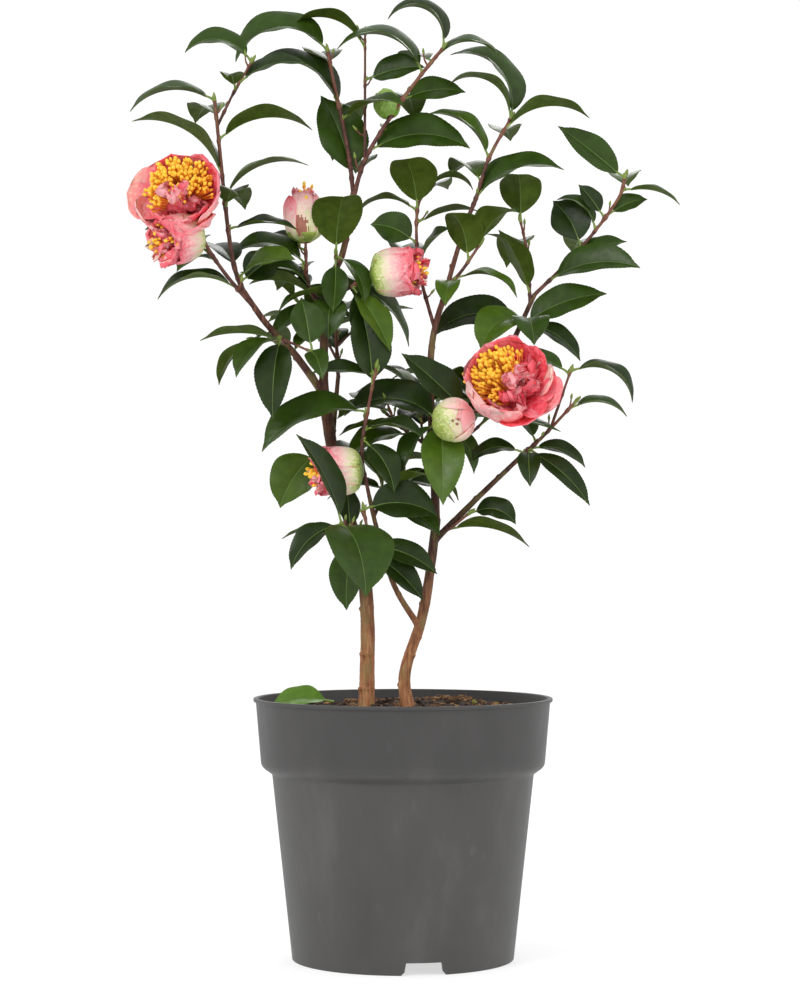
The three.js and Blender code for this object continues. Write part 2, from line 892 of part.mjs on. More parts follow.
function meets(guard, others) {
  return others.some((other) => {
    const [a, b] = [guard.boundingBox(), other.boundingBox()];
    const apart = [0, 1, 2].some((i) => a.min[i] > b.max[i] || b.min[i] > a.max[i]);
    return !apart && guard.intersect(other).volume() > 0;
  });
}

// Every twig, blossom and leaf so far, with the mass that owns it.
const placed = [];
const shootLists = {};
for (const [owner, mass] of Object.entries(MASSES)) {
  const shoots = shootsOf(mass);
  shootLists[owner] = shoots;
  const fused = [
    ...shoots.map((shoot) => twigSolid(shoot)),
    ...(mass.blossoms ?? []).map((blossom) => blossomSolid(blossom, shoots[0].line)),
  ];
  for (const solid of fused) placed.push({ owner, solid });
}

// A leaf is placed at the first of its turns that is clear of every limb, of the other masses and,
// but for its stalk, of its own mass. If none is, it is left out.
function placeLeaf(owner, leaf) {
  const foreign = placed.filter((item) => item.owner !== owner).map((item) => item.solid);
  const own = placed.filter((item) => item.owner === owner).map((item) => item.solid);
  for (const [heading, rise] of TURNS) {
    const tried = turnedLeaf(leaf, heading, rise);
    const whole = solidOf(blade(tried, CLEAR, true));
    const open = solidOf(blade(tried, CLEAR, false));
    if (meets(whole, Object.values(limbs)) || meets(whole, foreign) || meets(open, own)) continue;
    placed.push({ owner, solid: solidOf(blade(tried, 0, true)) });
    return;
  }
}

for (const grown of [false, true])
  for (const [owner, shoots] of Object.entries(shootLists))
    for (const leaf of shoots.flatMap((shoot) => shoot.leaves))
      if (leaf.grown === grown) placeLeaf(owner, leaf);

const masses = {};
for (const owner of Object.keys(MASSES)) {
  const pieces = placed.filter((item) => item.owner === owner).map((item) => item.solid);
  let solid = pieces.reduce((sum, piece) => sum.add(piece));
  for (const limb of Object.values(keepOut)) solid = solid.subtract(limb);
  masses[owner] = largest(solid);
}

// ---------------------------------------------------------------- the part
const MATERIALS = {
  plastic: new THREE.MeshStandardMaterial({ color: 0x5a5855, roughness: 0.6, metalness: 0 }),
  soil: new THREE.MeshStandardMaterial({ color: 0x3a2a20, roughness: 1, metalness: 0 }),
  bark: new THREE.MeshStandardMaterial({ color: 0x966f52, roughness: 0.9, metalness: 0 }),
  leaves: new THREE.MeshStandardMaterial({ color: 0x35522a, roughness: 0.4, metalness: 0 }),
};

const part = new THREE.Group();
function addMesh(name, solid, material) {
  const mesh = new THREE.Mesh(geometryOf(solid), material);
  mesh.name = name;
  part.add(mesh);
}
addMesh("pot", potSolid(), MATERIALS.plastic);
addMesh("soil", soilSolid(), MATERIALS.soil);
for (const [name, solid] of Object.entries(limbs)) addMesh(name, solid, MATERIALS.bark);
for (const [name, solid] of Object.entries(masses)) addMesh(name, solid, MATERIALS.leaves);

export default part;
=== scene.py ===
"""A young camellia shrub in its nursery pot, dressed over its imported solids.

Sizes are millimetres until a mesh is made. A heading turns from +X (0) towards the back, +Y (90),
and a rise is up from level, both in degrees. A leg is [length, heading, rise], and a place on a
limb or twig is counted in legs from its root.
"""
import math
from collections import namedtuple
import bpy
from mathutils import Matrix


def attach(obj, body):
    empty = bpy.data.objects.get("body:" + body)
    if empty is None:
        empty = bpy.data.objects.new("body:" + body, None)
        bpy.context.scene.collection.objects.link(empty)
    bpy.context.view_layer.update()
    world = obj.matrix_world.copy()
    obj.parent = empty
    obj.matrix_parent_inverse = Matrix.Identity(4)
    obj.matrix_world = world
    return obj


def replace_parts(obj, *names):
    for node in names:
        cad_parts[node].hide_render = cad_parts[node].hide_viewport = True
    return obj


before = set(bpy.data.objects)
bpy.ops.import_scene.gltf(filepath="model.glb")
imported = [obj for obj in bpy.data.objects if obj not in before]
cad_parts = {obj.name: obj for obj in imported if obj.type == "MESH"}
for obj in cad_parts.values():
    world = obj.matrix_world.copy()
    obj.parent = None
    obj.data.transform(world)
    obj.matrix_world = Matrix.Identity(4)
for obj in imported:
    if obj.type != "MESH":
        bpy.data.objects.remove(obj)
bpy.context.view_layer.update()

from types import SimpleNamespace as Sizes

import bpy
import numpy as np
from mathutils import Vector, noise
from mathutils.kdtree import KDTree

MM = 0.001

# ---------------------------------------------------------------- driving sizes
POT = Sizes(
    height=200, rim=115, collar_top=113, collar_foot=109.2, body_top=100.5, foot=85, lip=3,
    collar=51, shoulder=7, wall=1.8, base_at=10, base=2.4, ring=3.2, facets=168,
)
COLLAR_AT = POT.height - POT.collar
STEP_AT = COLLAR_AT - POT.shoulder
SLOPE = (POT.body_top - POT.foot) / STEP_AT
NOTCH = Sizes(count=3, first=-79.5, mouth=36, top=27, height=9.5, depth=20)
SOIL = Sizes(top=189, edge=187, inset=2.3, floor=12.7)
GROUND = SOIL.top + 0.3

STALK = Sizes(length=7, radius=0.95)
LEAF = Sizes(slender=0.5, fold=20, widest=0.42, fullness=1.9)
# How a leaf may turn, in heading and rise, until it is clear of its neighbours.
TURNS = [
    (0, 0), (7, 0), (-7, 0), (0, 8), (0, -8), (14, 0), (-14, 0),
    (8, 12), (-8, 12), (8, -12), (-8, -12), (22, 0), (-22, 0), (15, 15),
    (-15, 15), (15, -15), (-15, -15), (30, 8), (-30, 8), (0, 22), (0, -22),
]
TWIG = Sizes(tip=0.7, shoot=1.2)
SUNK = 4
TURN = 137.5  # degrees from one leaf, petal or stamen to the next
GROWN_LEAVES = 4
SEEDS = Sizes(limbs=200, masses=1000, litter=5, fallen=9)

# ---------------------------------------------------------------- the plant
# A limb rises from its foot, or from a place on another limb. A mass grows on a stem with shoots; a
# leaf is [place, heading, rise, length, lean, droop, slenderness], and a blossom is [kind, place,
# heading, rise]. Its grown shoots and the leaves that back it are drawn by its seed.
Limb = namedtuple("Limb", "radii legs foot limb at flare", defaults=[None, None, None, 1.1])
Mass = namedtuple(
    "Mass", "limb at seed radius legs leaves shoots blossoms backing grown", defaults=[(), (), (), 0, 0],
)
Shoot = namedtuple("Shoot", "line radius leaves")
Leaf = namedtuple("Leaf", "at root heading rise length lean droop width")

LIMBS = {
    "left_stem": Limb(
        foot=[-28, 0], radii=[5.8, 4.3], flare=1.8,
        legs=[[90, 90, 88], [53, 165, 78], [50, 165, 74], [66, 175, 81]],
    ),
    "right_stem": Limb(
        foot=[4.6, 0], radii=[4.6, 1.7], flare=1.5,
        legs=[
            [34, 180, 85], [48, 10, 73], [58, 20, 81], [29, 20, 88], [111, 150, 88], [60, 20, 76],
            [46, 20, 73],
        ],
    ),
    "left_bough": Limb(
        limb="left_stem", at=3.9, radii=[3.2, 1.9],
        legs=[[40, 205, 51], [33, 205, 44], [31, 205, 53]],
    ),
    "centre_bough": Limb(
        limb="left_stem", at=3.92, radii=[3.6, 2.0],
        legs=[[76, 60, 87], [37, 20, 68], [47, 20, 80]],
    ),
    "right_bough": Limb(
        limb="right_stem", at=4.2, radii=[2.8, 1.8],
        legs=[[76, 24, 55], [92, 20, 63]],
    ),
    "low_right_bough": Limb(
        limb="right_stem", at=2.95, radii=[2.6, 1.7],
        legs=[[50, -20, 43], [46, -20, 42]],
    ),
    "inner_bough": Limb(
        limb="right_stem", at=1.78, radii=[2.4, 1.6],
        legs=[[39, 208, 56], [46, 208, 71], [26, 200, 76]],
    ),
    "back_left_bough": Limb(
        limb="left_stem", at=3.3, radii=[2.4, 1.6],
        legs=[[38, 85, 50], [30, 80, 65]],
    ),
    "back_right_bough": Limb(
        limb="right_stem", at=4.05, radii=[2.4, 1.6],
        legs=[[22, 65, 38], [19, 58, 45]],
    ),
}

MASSES = {
    "left_top": Mass(
        limb="left_bough", at=3, seed=11, radius=1.8, backing=3,
        legs=[[19, 180, 70], [34, 180, 81], [58, 175, 84], [35, 175, 84]],
        leaves=[
            [4, 180, 29, 65, 15, 80], [2.6, 180, 68, 82, 5, 80], [3.1, 0, 42, 72, -5, 78],
            [2.35, 5, 55, 68, 5, 75], [2.2, -75, 35, 44, 0, 70, 0.6], [1.85, 0, 20, 48, 15, 45],
            [0.5, -30, 35, 48, 40, 50, 0.62], [0.25, 30, 42, 34, 60, 20, 0.8],
        ],
        shoots=[
            {"at": 3.4, "legs": [[28, 0, 64], [27, 0, 60]], "leaves": [
                [2, 180, 55, 54, 35, 105], [1.3, 0, 42, 52, 30, 60], [1.1, -95, 30, 36, 0, 60],
            ]},
        ],
    ),
    "left_bloom": Mass(
        limb="left_bough", at=2.4, seed=12, radius=1.7, backing=1,
        legs=[[36, -142, 42], [28, 195, 55], [34, 180, 62]],
        leaves=[[2.2, 170, 15, 56, 0, 30], [0.6, 190, 30, 62, 15, 85], [1.5, 140, 20, 44, 0, 60]],
        blossoms=[["open", 3, -98, 18], ["opening", 2.3, 217, -14]],
    ),
    "left_low": Mass(
        limb="left_bough", at=1.3, seed=13, radius=1.6,
        legs=[[16, -100, 10]],
        leaves=[[0.5, 180, 18, 58, 0, 40], [0.75, -130, -5, 56, 0, 60], [1, -100, -45, 64, 0, 50]],
        shoots=[
            {"at": 1, "legs": [[26, -8, -24]], "leaves": [
                [1, 125, 78, 38, 15, 15, 0.8], [0.9, -70, -10, 38, 20, 60],
            ]},
            {"at": 0.4, "legs": [[22, 170, 5]], "leaves": [
                [1, 150, -20, 44, 0, 60], [1, 70, 20, 58, 0, 60],
            ]},
        ],
    ),
    "top_left": Mass(
        limb="centre_bough", at=3, seed=14, radius=1.8, backing=3,
        legs=[[28, 170, 83], [32, 165, 79], [28, 165, 77], [24, 165, 79]],
        leaves=[
            [4, 180, 50, 84, 30, 122], [2.2, 180, 72, 84, 25, 105], [0.4, 150, 77, 66, 38, 22, 0.64],
            [1.9, -24, 26, 66, 20, 50, 0.34],
        ],
    ),
    "top_right": Mass(
        limb="centre_bough", at=2.68, seed=15, radius=1.8, backing=3,
        legs=[[42, -25, 72], [46, -15, 57], [25, -12, 53], [33, -10, 50]],
        leaves=[
            [3.25, 180, 70, 77, 20, 117], [1.5, 60, 25, 46, 0, 50], [1.15, 0, 30, 76, 50, 62, 0.5],
            [4, 180, 95, 62, 20, 150], [2.25, 20, 25, 48, 55, 35], [3.75, 0, 42, 50, 20, 95],
        ],
        blossoms=[["green", 1.8, 120, 62]],
        shoots=[
            {"at": 0.98, "legs": [[104, 90, 80]], "leaves": [
                [0.88, 180, 52, 60, 0, 92], [0.62, -20, 22, 44, 62, 30, 0.6],
            ]},
        ],
    ),
    "centre_left": Mass(
        limb="centre_bough", at=0.85, seed=16, radius=1.5, backing=1,
        legs=[[20, 185, 50], [34, 178, 86]],
        leaves=[
            [1.5, 182, 72, 60, 25, 95], [0.6, 190, 60, 56, 25, 105], [0.4, 165, 40, 54, -10, 60],
            [0.9, 120, 30, 52, 0, 60], [0.3, 205, -25, 44, 30, 30], [1.8, 150, 40, 44, 30, 30, 0.5],
        ],
        blossoms=[["bud", 2, 150, 86]],
    ),
    "centre_upper": Mass(
        limb="centre_bough", at=1.6, seed=17, radius=1.5,
        legs=[[14, -90, 40]],
        leaves=[
            [1, -95, 76, 58, 0, 78, 0.72], [0.8, -30, -5, 46, 0, 70], [0.7, -95, -66, 42, 0, -5, 0.52],
        ],
    ),
    "centre_bloom": Mass(
        limb="centre_bough", at=0.95, seed=18, radius=1.6, backing=1,
        legs=[[22, -40, 15], [22, -10, 32]],
        leaves=[
            [0.3, -95, -5, 38, 0, 75, 0.75], [0.5, -150, 20, 46, 0, 60],
            [1.2, -38, -42, 58, 20, 25, 0.44], [1.7, -60, -55, 52, 20, 20, 0.6],
            [1.4, 20, -25, 60, 35, 50],
        ],
        blossoms=[["opening", 2, -8, 4]],
    ),
    "centre_top": Mass(
        limb="right_stem", at=5.3, seed=19, radius=1.5, backing=2,
        legs=[[50, 140, 72], [45, 110, 84], [22, 10, 68]],
        leaves=[
            [2.05, -105, 76, 50, 0, 78, 0.8], [1.15, -40, 48, 32, 35, 30, 0.75],
            [1.4, 175, 42, 34, 70, 45, 0.8], [2.9, 0, 40, 36, 0, 100], [2.0, 170, 40, 46, 0, 90],
            [1.75, 0, 30, 44, 0, 40],
        ],
    ),
    "right_top": Mass(
        limb="right_stem", at=7, seed=20, radius=1.7, backing=2,
        legs=[[26, 10, 68], [24, 10, 73], [18, 10, 65], [24, 10, 60]],
        leaves=[
            [4, 175, 100, 78, 25, 115], [4, 184, 92, 64, 10, 126], [3.6, 0, 46, 68, 0, 84],
            [2.3, 180, 65, 58, 20, 80], [0.9, 0, 53, 72, 30, 77],
        ],
    ),
    "right_inner": Mass(
        limb="right_stem", at=5.9, seed=21, radius=1.5, backing=1,
        legs=[[20, -20, 48], [22, -10, 55]],
        leaves=[
            [2, -50, 58, 48, 0, 75, 0.7], [0.5, -10, 20, 50, 10, 85], [1.3, -115, 72, 46, 0, 78, 0.7],
            [0.4, -100, -5, 40, 0, 60],
        ],
    ),
    "right_outer": Mass(
        limb="right_bough", at=2, seed=22, radius=1.6, backing=2,
        legs=[[40, 10, 44], [38, 0, 50], [26, -5, 56], [13, 0, 75]],
        leaves=[
            [4, 182, 42, 60, 70, 8, 0.42], [3.2, -5, 10, 42, 10, 55], [0.4, -25, 28, 72, 50, 50, 0.5],
            [2.1, 165, 62, 28, 60, 20, 0.6], [2.2, 10, 35, 30, 60, 30, 0.55],
            [1.3, 150, 75, 40, 60, 40, 0.8], [1.75, 180, 72, 38, 30, 95], [1.0, -20, 30, 40, 40, 30],
        ],
    ),
    "right_middle": Mass(
        limb="right_bough", at=1.9, seed=23, radius=1.3, backing=1,
        legs=[[24, 95, 80], [22, 175, 84], [20, 180, 78]],
        leaves=[
            [3, -95, 74, 46, 0, 72, 0.78], [1.0, 180, 68, 42, 0, 55], [0.35, -150, 82, 52, 0, 30],
        ],
    ),
    "right_lower": Mass(
        limb="right_bough", at=1.68, seed=24, radius=1.5,
        legs=[[18, -70, 15]],
        leaves=[
            [0.5, 0, 36, 64, 50, 35, 0.5], [1, -140, 10, 54, 30, 85, 0.6],
            [0.9, -85, 0, 46, 0, 80, 0.65], [0.7, -15, -15, 48, 35, 45],
            [0.25, 182, 30, 68, 45, 80, 0.5],
        ],
    ),
    "low_right": Mass(
        limb="low_right_bough", at=2, seed=25, radius=1.5,
        legs=[[25, -20, 41], [33, -15, 46]],
        leaves=[
            [1.8, 0, 25, 42, 15, 75], [0.32, -5, 12, 42, 40, 70, 0.36],
            [0.3, -25, -27, 60, 40, 30, 0.32], [0.3, -90, -20, 36, 0, 60], [0.6, 120, 60, 40, 0, 40],
            [0.1, 195, 25, 40, 40, 80, 0.45],
        ],
        shoots=[
            {"at": 1.2, "legs": [[46, 15, 70]], "leaves": [
                [1, -10, 20, 56, 10, 105], [0.95, 175, 40, 48, 30, 70], [0.6, 150, 10, 42, 0, 60],
            ]},
        ],
    ),
    "low_front": Mass(
        limb="low_right_bough", at=0.3, seed=30, radius=1.3,
        legs=[[10, -80, -5], [18, -15, 38]],
        leaves=[[0.4, -4, 10, 60, -15, 50], [2, -20, 20, 36, 45, 75, 0.6]],
    ),
    "right_bloom": Mass(
        limb="right_stem", at=4.55, seed=26, radius=1.7,
        legs=[[34, -65, 3], [53, -9, 17]],
        leaves=[
            [0.65, -88, -42, 68, 0, 45], [0.5, 185, 45, 76, 40, 90], [1.3, 172, 48, 62, 45, 12, 0.52],
            [1.2, 0, 0, 70, 10, 20], [0.4, 215, -30, 50, 0, 50], [0.8, -20, -30, 42, 30, 50, 0.4],
        ],
        blossoms=[["open", 2, -108, 32], ["round", 1, -85, -5]],
    ),
    "low_left": Mass(
        limb="left_stem", at=1.9, seed=27, radius=1.6,
        legs=[[62, -98, 10]],
        leaves=[
            [1, 196, 76, 70, 40, 30], [0.15, 175, 20, 50, 0, 50], [0.1, 200, -78, 50, 60, 15, 0.6],
            [1, 206, -12, 50, 35, 62, 0.45], [0.3, 110, 88, 34, 0, 6, 0.5],
            [1, -68, -14, 72, 0, 72, 0.76],
        ],
    ),
    "inner": Mass(
        limb="inner_bough", at=3, seed=28, radius=1.5,
        legs=[[32, 190, 80], [35, 0, 82], [32, 0, 79]],
        leaves=[
            [2.5, 140, 80, 62, 30, 22, 0.56], [2.8, 185, 15, 42, 30, 30], [1.9, 190, 12, 86, 25, 70],
            [1.3, -40, -30, 46, 30, 50], [1.5, -30, 20, 48, 20, 60],
        ],
        blossoms=[["opening", 0.6, 188, 0]],
    ),
    "inner_low": Mass(
        limb="inner_bough", at=1.45, seed=29, radius=1.5,
        legs=[[16, -130, 15], [34, -150, 78]],
        leaves=[
            [2, 0, 22, 52, 60, 60, 0.7], [1.25, -5, -5, 50, 45, 40], [0.97, -12, -28, 46, 50, 30],
        ],
    ),
    "left_inner": Mass(
        limb="left_stem", at=3.15, seed=34, radius=1.4,
        legs=[[15, 150, 20]],
        leaves=[[1, 196, -40, 47, 60, 35, 0.8], [0.5, 40, 20, 44, 20, 50]],
    ),
    "inner_back": Mass(
        limb="inner_bough", at=2.3, seed=35, radius=1.5, grown=2,
        legs=[[22, 75, 30], [24, 60, 45]],
        leaves=[
            [1, -20, -10, 50, 30, 40, 0.6], [1.6, 190, 10, 46, 20, 60], [2, 10, 5, 52, 30, 50, 0.6],
        ],
    ),
    "back_middle": Mass(
        limb="right_stem", at=4.4, seed=36, radius=1.5, grown=3,
        legs=[[24, 140, 25], [26, 165, 40]],
        leaves=[[1, -150, 5, 54, 20, 50, 0.6], [2, 120, 40, 52, 20, 50, 0.6]],
    ),
    "back_left": Mass(
        limb="back_left_bough", at=2, seed=31, radius=1.6, backing=2, grown=3,
        legs=[[26, 100, 72], [26, 100, 78]],
    ),
    "back_right": Mass(
        limb="back_right_bough", at=2, seed=33, radius=1.6, backing=2, grown=3,
        legs=[[24, 50, 50], [22, 60, 55]],
    ),
}


# ---------------------------------------------------------------- directions and lines
def unit(vectors):
    return vectors / np.linalg.norm(vectors, axis=-1, keepdims=True)


def direction(heading, rise):
    h, r = math.radians(heading), math.radians(rise)
    return np.array([math.cos(r) * math.cos(h), math.cos(r) * math.sin(h), math.sin(r)])


def turning(axis, angle):
    """The matrix that turns by an angle in radians round an axis: 0, 1 or 2 for X, Y or Z."""
    matrix, first, second = np.eye(3), (axis + 1) % 3, (axis + 2) % 3
    matrix[first, first] = matrix[second, second] = math.cos(angle)
    matrix[second, first], matrix[first, second] = math.sin(angle), -math.sin(angle)
    return matrix


def all_round(count):
    """Even angles round a circle."""
    return np.linspace(0, 2 * np.pi, count, endpoint=False)


class Line:
    """The smooth line through a run of stops; a place is counted in stretches from its start."""

    def __init__(self, stops):
        stops = np.asarray(stops, float)
        self.stretches = len(stops) - 1
        self.stops = np.vstack([2 * stops[0] - stops[1], stops, 2 * stops[-1] - stops[-2]])

    def at(self, place):
        place = np.clip(np.asarray(place, float), 0, self.stretches)
        k = np.minimum(place.astype(int), self.stretches - 1)
        t = (place - k)[..., None]
        a, b, c, d = (self.stops[k + i] for i in range(4))
        out, come = (c - a) / 2, (d - b) / 2
        return b + t * (out + t * (3 * (c - b) - 2 * out - come + t * (2 * (b - c) + out + come)))

    def way(self, place):
        return unit(self.at(place + 0.01) - self.at(place - 0.01))

    def even(self, step):
        """Places, and how far along each lies, about a step apart."""
        places = np.linspace(0, self.stretches, 40 * self.stretches + 1)
        spans = np.linalg.norm(np.diff(self.at(places), axis=0), axis=1)
        walked = np.concatenate([[0], np.cumsum(spans)])
        distances = np.linspace(0, walked[-1], max(3, round(walked[-1] / step)) + 1)
        return np.interp(distances, walked, places), distances


def walk(start, legs):
    stops = [np.asarray(start, float)]
    for length, heading, rise in legs:
        stops.append(stops[-1] + length * direction(heading, rise))
    return Line(stops)


# ---------------------------------------------------------------- meshes
def lattice(rows, columns, closed=False):
    """The quads of a grid of points; a closed one joins its last column to its first."""
    i, j = np.meshgrid(np.arange(rows - 1), np.arange(columns - (not closed)), indexing="ij")
    k = (j + 1) % columns
    corners = [i * columns + j, i * columns + k, (i + 1) * columns + k, (i + 1) * columns + j]
    return np.stack(corners, axis=-1).reshape(-1, 4)


class Skin:
    """The points and faces of one piece, gathered from many small grids."""

    def __init__(self):
        self.points, self.faces, self.slots, self.size = [], [], [], 0

    def add(self, points, faces, slot):
        points = np.asarray(points, float).reshape(-1, 3)
        self.points.append(points)
        self.faces.append(np.asarray(faces) + self.size)
        self.slots.append(np.broadcast_to(slot, len(faces)))
        self.size += len(points)

    def grid(self, points, slot, closed=False, flip=False):
        rows, columns = points.shape[:2]
        faces = lattice(rows, columns, closed)
        self.add(points, faces[:, ::-1] if flip else faces, slot)

    def cap(self, ring, slot, flip=False):
        n = len(ring)
        fan = np.array([[n, i, (i + 1) % n] for i in range(n)])
        points = np.vstack([ring, ring.mean(axis=0)])
        self.add(points, fan[:, ::-1] if flip else fan, slot)

    def sheet(self, upper, lower, slot, under, rim):
        """A thin closed sheet between two grids of the same shape."""
        self.grid(upper, slot)
        self.grid(lower, under, flip=True)
        edges = ((np.s_[0], True), (np.s_[-1], False), (np.s_[:, 0], False), (np.s_[:, -1], True))
        for edge, flip in edges:
            self.grid(np.stack([upper[edge], lower[edge]]), rim, flip=flip)

    def body(self, rings, slot):
        """A closed body through rings of points, with one slot, or one for each stretch."""
        slots = np.broadcast_to(slot, len(rings) - 1)
        self.grid(rings, np.repeat(slots, rings.shape[1]), closed=True)
        self.cap(rings[0], slots[0], flip=True)
        self.cap(rings[-1], slots[-1])

    def tube(self, centres, radii, sides, slot, relief=None):
        """A round limb over a run of centres; relief(turns, k) is added to its radius."""
        centres = np.asarray(centres, float)
        radii = np.broadcast_to(radii, len(centres))
        along = unit(np.gradient(centres, axis=0))
        turns = all_round(sides)
        side = np.array([1.0, 0, 0]) if abs(along[0][0]) < 0.9 else np.array([0, 1.0, 0])
        rings = np.empty((len(centres), sides, 3))
        for k, (centre, way, radius) in enumerate(zip(centres, along, radii)):
            side = unit(side - side.dot(way) * way)
            out = np.outer(np.cos(turns), side) + np.outer(np.sin(turns), np.cross(way, side))
            reach = radius if relief is None else radius + relief(turns, k)
            rings[k] = centre + out * np.reshape(reach, (-1, 1))
        self.body(rings, slot)

    def made(self, name, materials):
        """The piece as an object, in metres, riding on the only body."""
        mesh = bpy.data.meshes.new(name)
        points = np.concatenate(self.points) * MM
        sizes = np.concatenate([np.full(len(f), f.shape[1]) for f in self.faces])
        mesh.vertices.add(len(points))
        mesh.vertices.foreach_set("co", points.ravel())
        mesh.loops.add(int(sizes.sum()))
        mesh.loops.foreach_set("vertex_index", np.concatenate([f.ravel() for f in self.faces]))
        mesh.polygons.add(len(sizes))
        mesh.polygons.foreach_set("loop_start", np.cumsum(sizes) - sizes)
        mesh.polygons.foreach_set("material_index", np.concatenate(self.slots))
        mesh.update(calc_edges=True)
        mesh.shade_smooth()
        for material in materials:
            mesh.materials.append(material)
        piece = bpy.data.objects.new(name, mesh)
        bpy.context.scene.collection.objects.link(piece)
        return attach(piece, "root")


# ---------------------------------------------------------------- materials
def linear(colour):
    """A colour given from 0 to 255 as the eye sees it, as light."""
    shares = [value / 255 for value in colour]
    return [c / 12.92 if c <= 0.04045 else ((c + 0.055) / 1.055) ** 2.4 for c in shares] + [1]


class Finish:
    """A material whose colour, gloss and relief vary over the object's own space, in metres."""

    def __init__(self, name, **uniform):
        self.material = bpy.data.materials.new(name)
        self.material.use_nodes = True
        self.tree = self.material.node_tree
        self.shader = self.tree.nodes["Principled BSDF"]
        self.place = self.tree.nodes.new("ShaderNodeTexCoord").outputs["Object"]
        for socket, value in uniform.items():
            self.shader.inputs[socket.replace("_", " ")].default_value = value

    def node(self, kind, *inputs, **settings):
        """A new node; an input is linked to an output, or set to a number, vector or (r, g, b)."""
        node = self.tree.nodes.new("ShaderNode" + kind)
        for key, value in settings.items():
            setattr(node, key, value)
        for socket, value in inputs:
            if isinstance(value, bpy.types.NodeSocket):
                self.tree.links.new(value, node.inputs[socket])
            else:
                node.inputs[socket].default_value = linear(value) if isinstance(value, tuple) else value
        return node

    def noise(self, size, stretch=(1, 1, 1), detail=4, rough=0.55):
        """Noise whose lumps are about a size across, in millimetres, and stretched."""
        scale = [1 / (size * MM * s) for s in stretch]
        spot = self.node("Mapping", ("Vector", self.place), ("Scale", scale)).outputs[0]
        inputs = ("Vector", spot), ("Scale", 1.0), ("Detail", detail), ("Roughness", rough)
        return self.node("TexNoise", *inputs).outputs[0]

    def ramp(self, value, stops):
        """A colour for each value, from stops of (value, colour)."""
        node, stops = self.node("ValToRGB", (0, value)), list(stops)
        elements = node.color_ramp.elements
        while len(elements) < len(stops):
            elements.new(0.5)
        for element, (place, colour) in zip(elements, stops):
            element.position, element.color = place, linear(colour)
        return node.outputs[0]

    def mix(self, share, low, high):
        return self.node("Mix", (0, share), (6, low), (7, high), data_type="RGBA").outputs[2]

    def spread(self, value, low, high, start=0.3, end=0.7):
        """The value, taken from between start and end to between low and high."""
        ends = ("From Min", start), ("From Max", end), ("To Min", low), ("To Max", high)
        return self.node("MapRange", (0, value), *ends).outputs[0]

    def use(self, colour, gloss, relief, depth):
        """Sets what varies; relief is in shares of a depth in millimetres."""
        bump = self.node("Bump", ("Height", relief), ("Distance", depth * MM), ("Strength", 1.0))
        for socket, value in (("Base Color", colour), ("Roughness", gloss), ("Normal", bump.outputs[0])):
            self.tree.links.new(value, self.shader.inputs[socket])
        return self.material


def mottled(name, tones, size, gloss, grain, depth, stretch=(1, 1, 1), **uniform):
    """A finish that drifts between tones, with a fine grain in its relief."""
    finish = Finish(name, **uniform)
    drift = finish.noise(size, stretch)
    stops = [(0.32 + 0.36 * k / (len(tones) - 1), tone) for k, tone in enumerate(tones)]
    return finish.use(
        colour=finish.ramp(drift, stops),
        gloss=finish.spread(finish.noise(size * 0.6), *gloss),
        relief=finish.noise(grain),
        depth=depth,
    )


# ---------------------------------------------------------------- the rule that grows the plant
def seeded(seed):
    """mulberry32: the same seed always gives the same run of numbers from 0 to 1."""
    state = seed

    def draw():
        nonlocal state
        state = (state + 0x6D2B79F5) & 0xFFFFFFFF
        t = (state ^ (state >> 15)) * (1 | state) & 0xFFFFFFFF
        t = (t + ((t ^ (t >> 7)) * (61 | t) & 0xFFFFFFFF)) & 0xFFFFFFFF ^ t
        return ((t ^ (t >> 14)) & 0xFFFFFFFF) / 4294967296

    return draw


def grow_limbs():
    lines = {}
    for name, limb in LIMBS.items():
        start = [*limb.foot, GROUND - SUNK] if limb.foot else lines[limb.limb].at(limb.at)
        lines[name] = walk(start, limb.legs)
    return lines


def shoots_of(mass, lines):
    """The shoots of a mass, its stem first."""
    draw = seeded(mass.seed)

    def between(low, high):
        return low + (high - low) * draw()

    stem = walk(lines[mass.limb].at(mass.at), mass.legs)
    shoots = [Shoot(stem, mass.radius, [])]

    def add_shoot(at, legs):
        shoots.append(Shoot(walk(stem.at(at), legs), TWIG.shoot, []))
        return shoots[-1]

    def add_leaf(shoot, at, heading, rise, length, lean, droop, slender=LEAF.slender):
        at = min(at, shoot.line.stretches)
        width = length * (slender + between(-0.03, 0.05))
        root = shoot.line.at(at)
        shoot.leaves.append(Leaf(at, root, heading, rise, length, lean, droop, width))

    for leaf in mass.leaves:
        add_leaf(shoots[0], *leaf)
    for shoot in mass.shoots:
        side = add_shoot(shoot["at"], shoot["legs"])
        for leaf in shoot["leaves"]:
            add_leaf(side, *leaf)
    first = between(0, 360)
    for k in range(mass.grown):
        heading = first + TURN * k
        legs = [
            [between(20, 28), heading, between(20, 50)],
            [between(12, 20), heading, between(50, 75)],
        ]
        shoot = add_shoot(len(mass.legs) * (k + 1) / (mass.grown + 1), legs)
        for i in range(GROWN_LEAVES):
            rise, length, droop = between(10, 55), between(42, 54), between(40, 80)
            add_leaf(shoot, 0.6 + 0.45 * i, heading + TURN * i, rise, length, 0, droop)
    for k in range(mass.backing):
        heading = 90 + (-1 if k % 2 else 1) * between(5, 32)
        rise, length, droop = between(15, 55), between(50, 62), between(40, 85)
        place = len(mass.legs) * (k + 0.7) / mass.backing
        add_leaf(shoots[0], place, heading, rise, length, 0, droop)
    return shoots


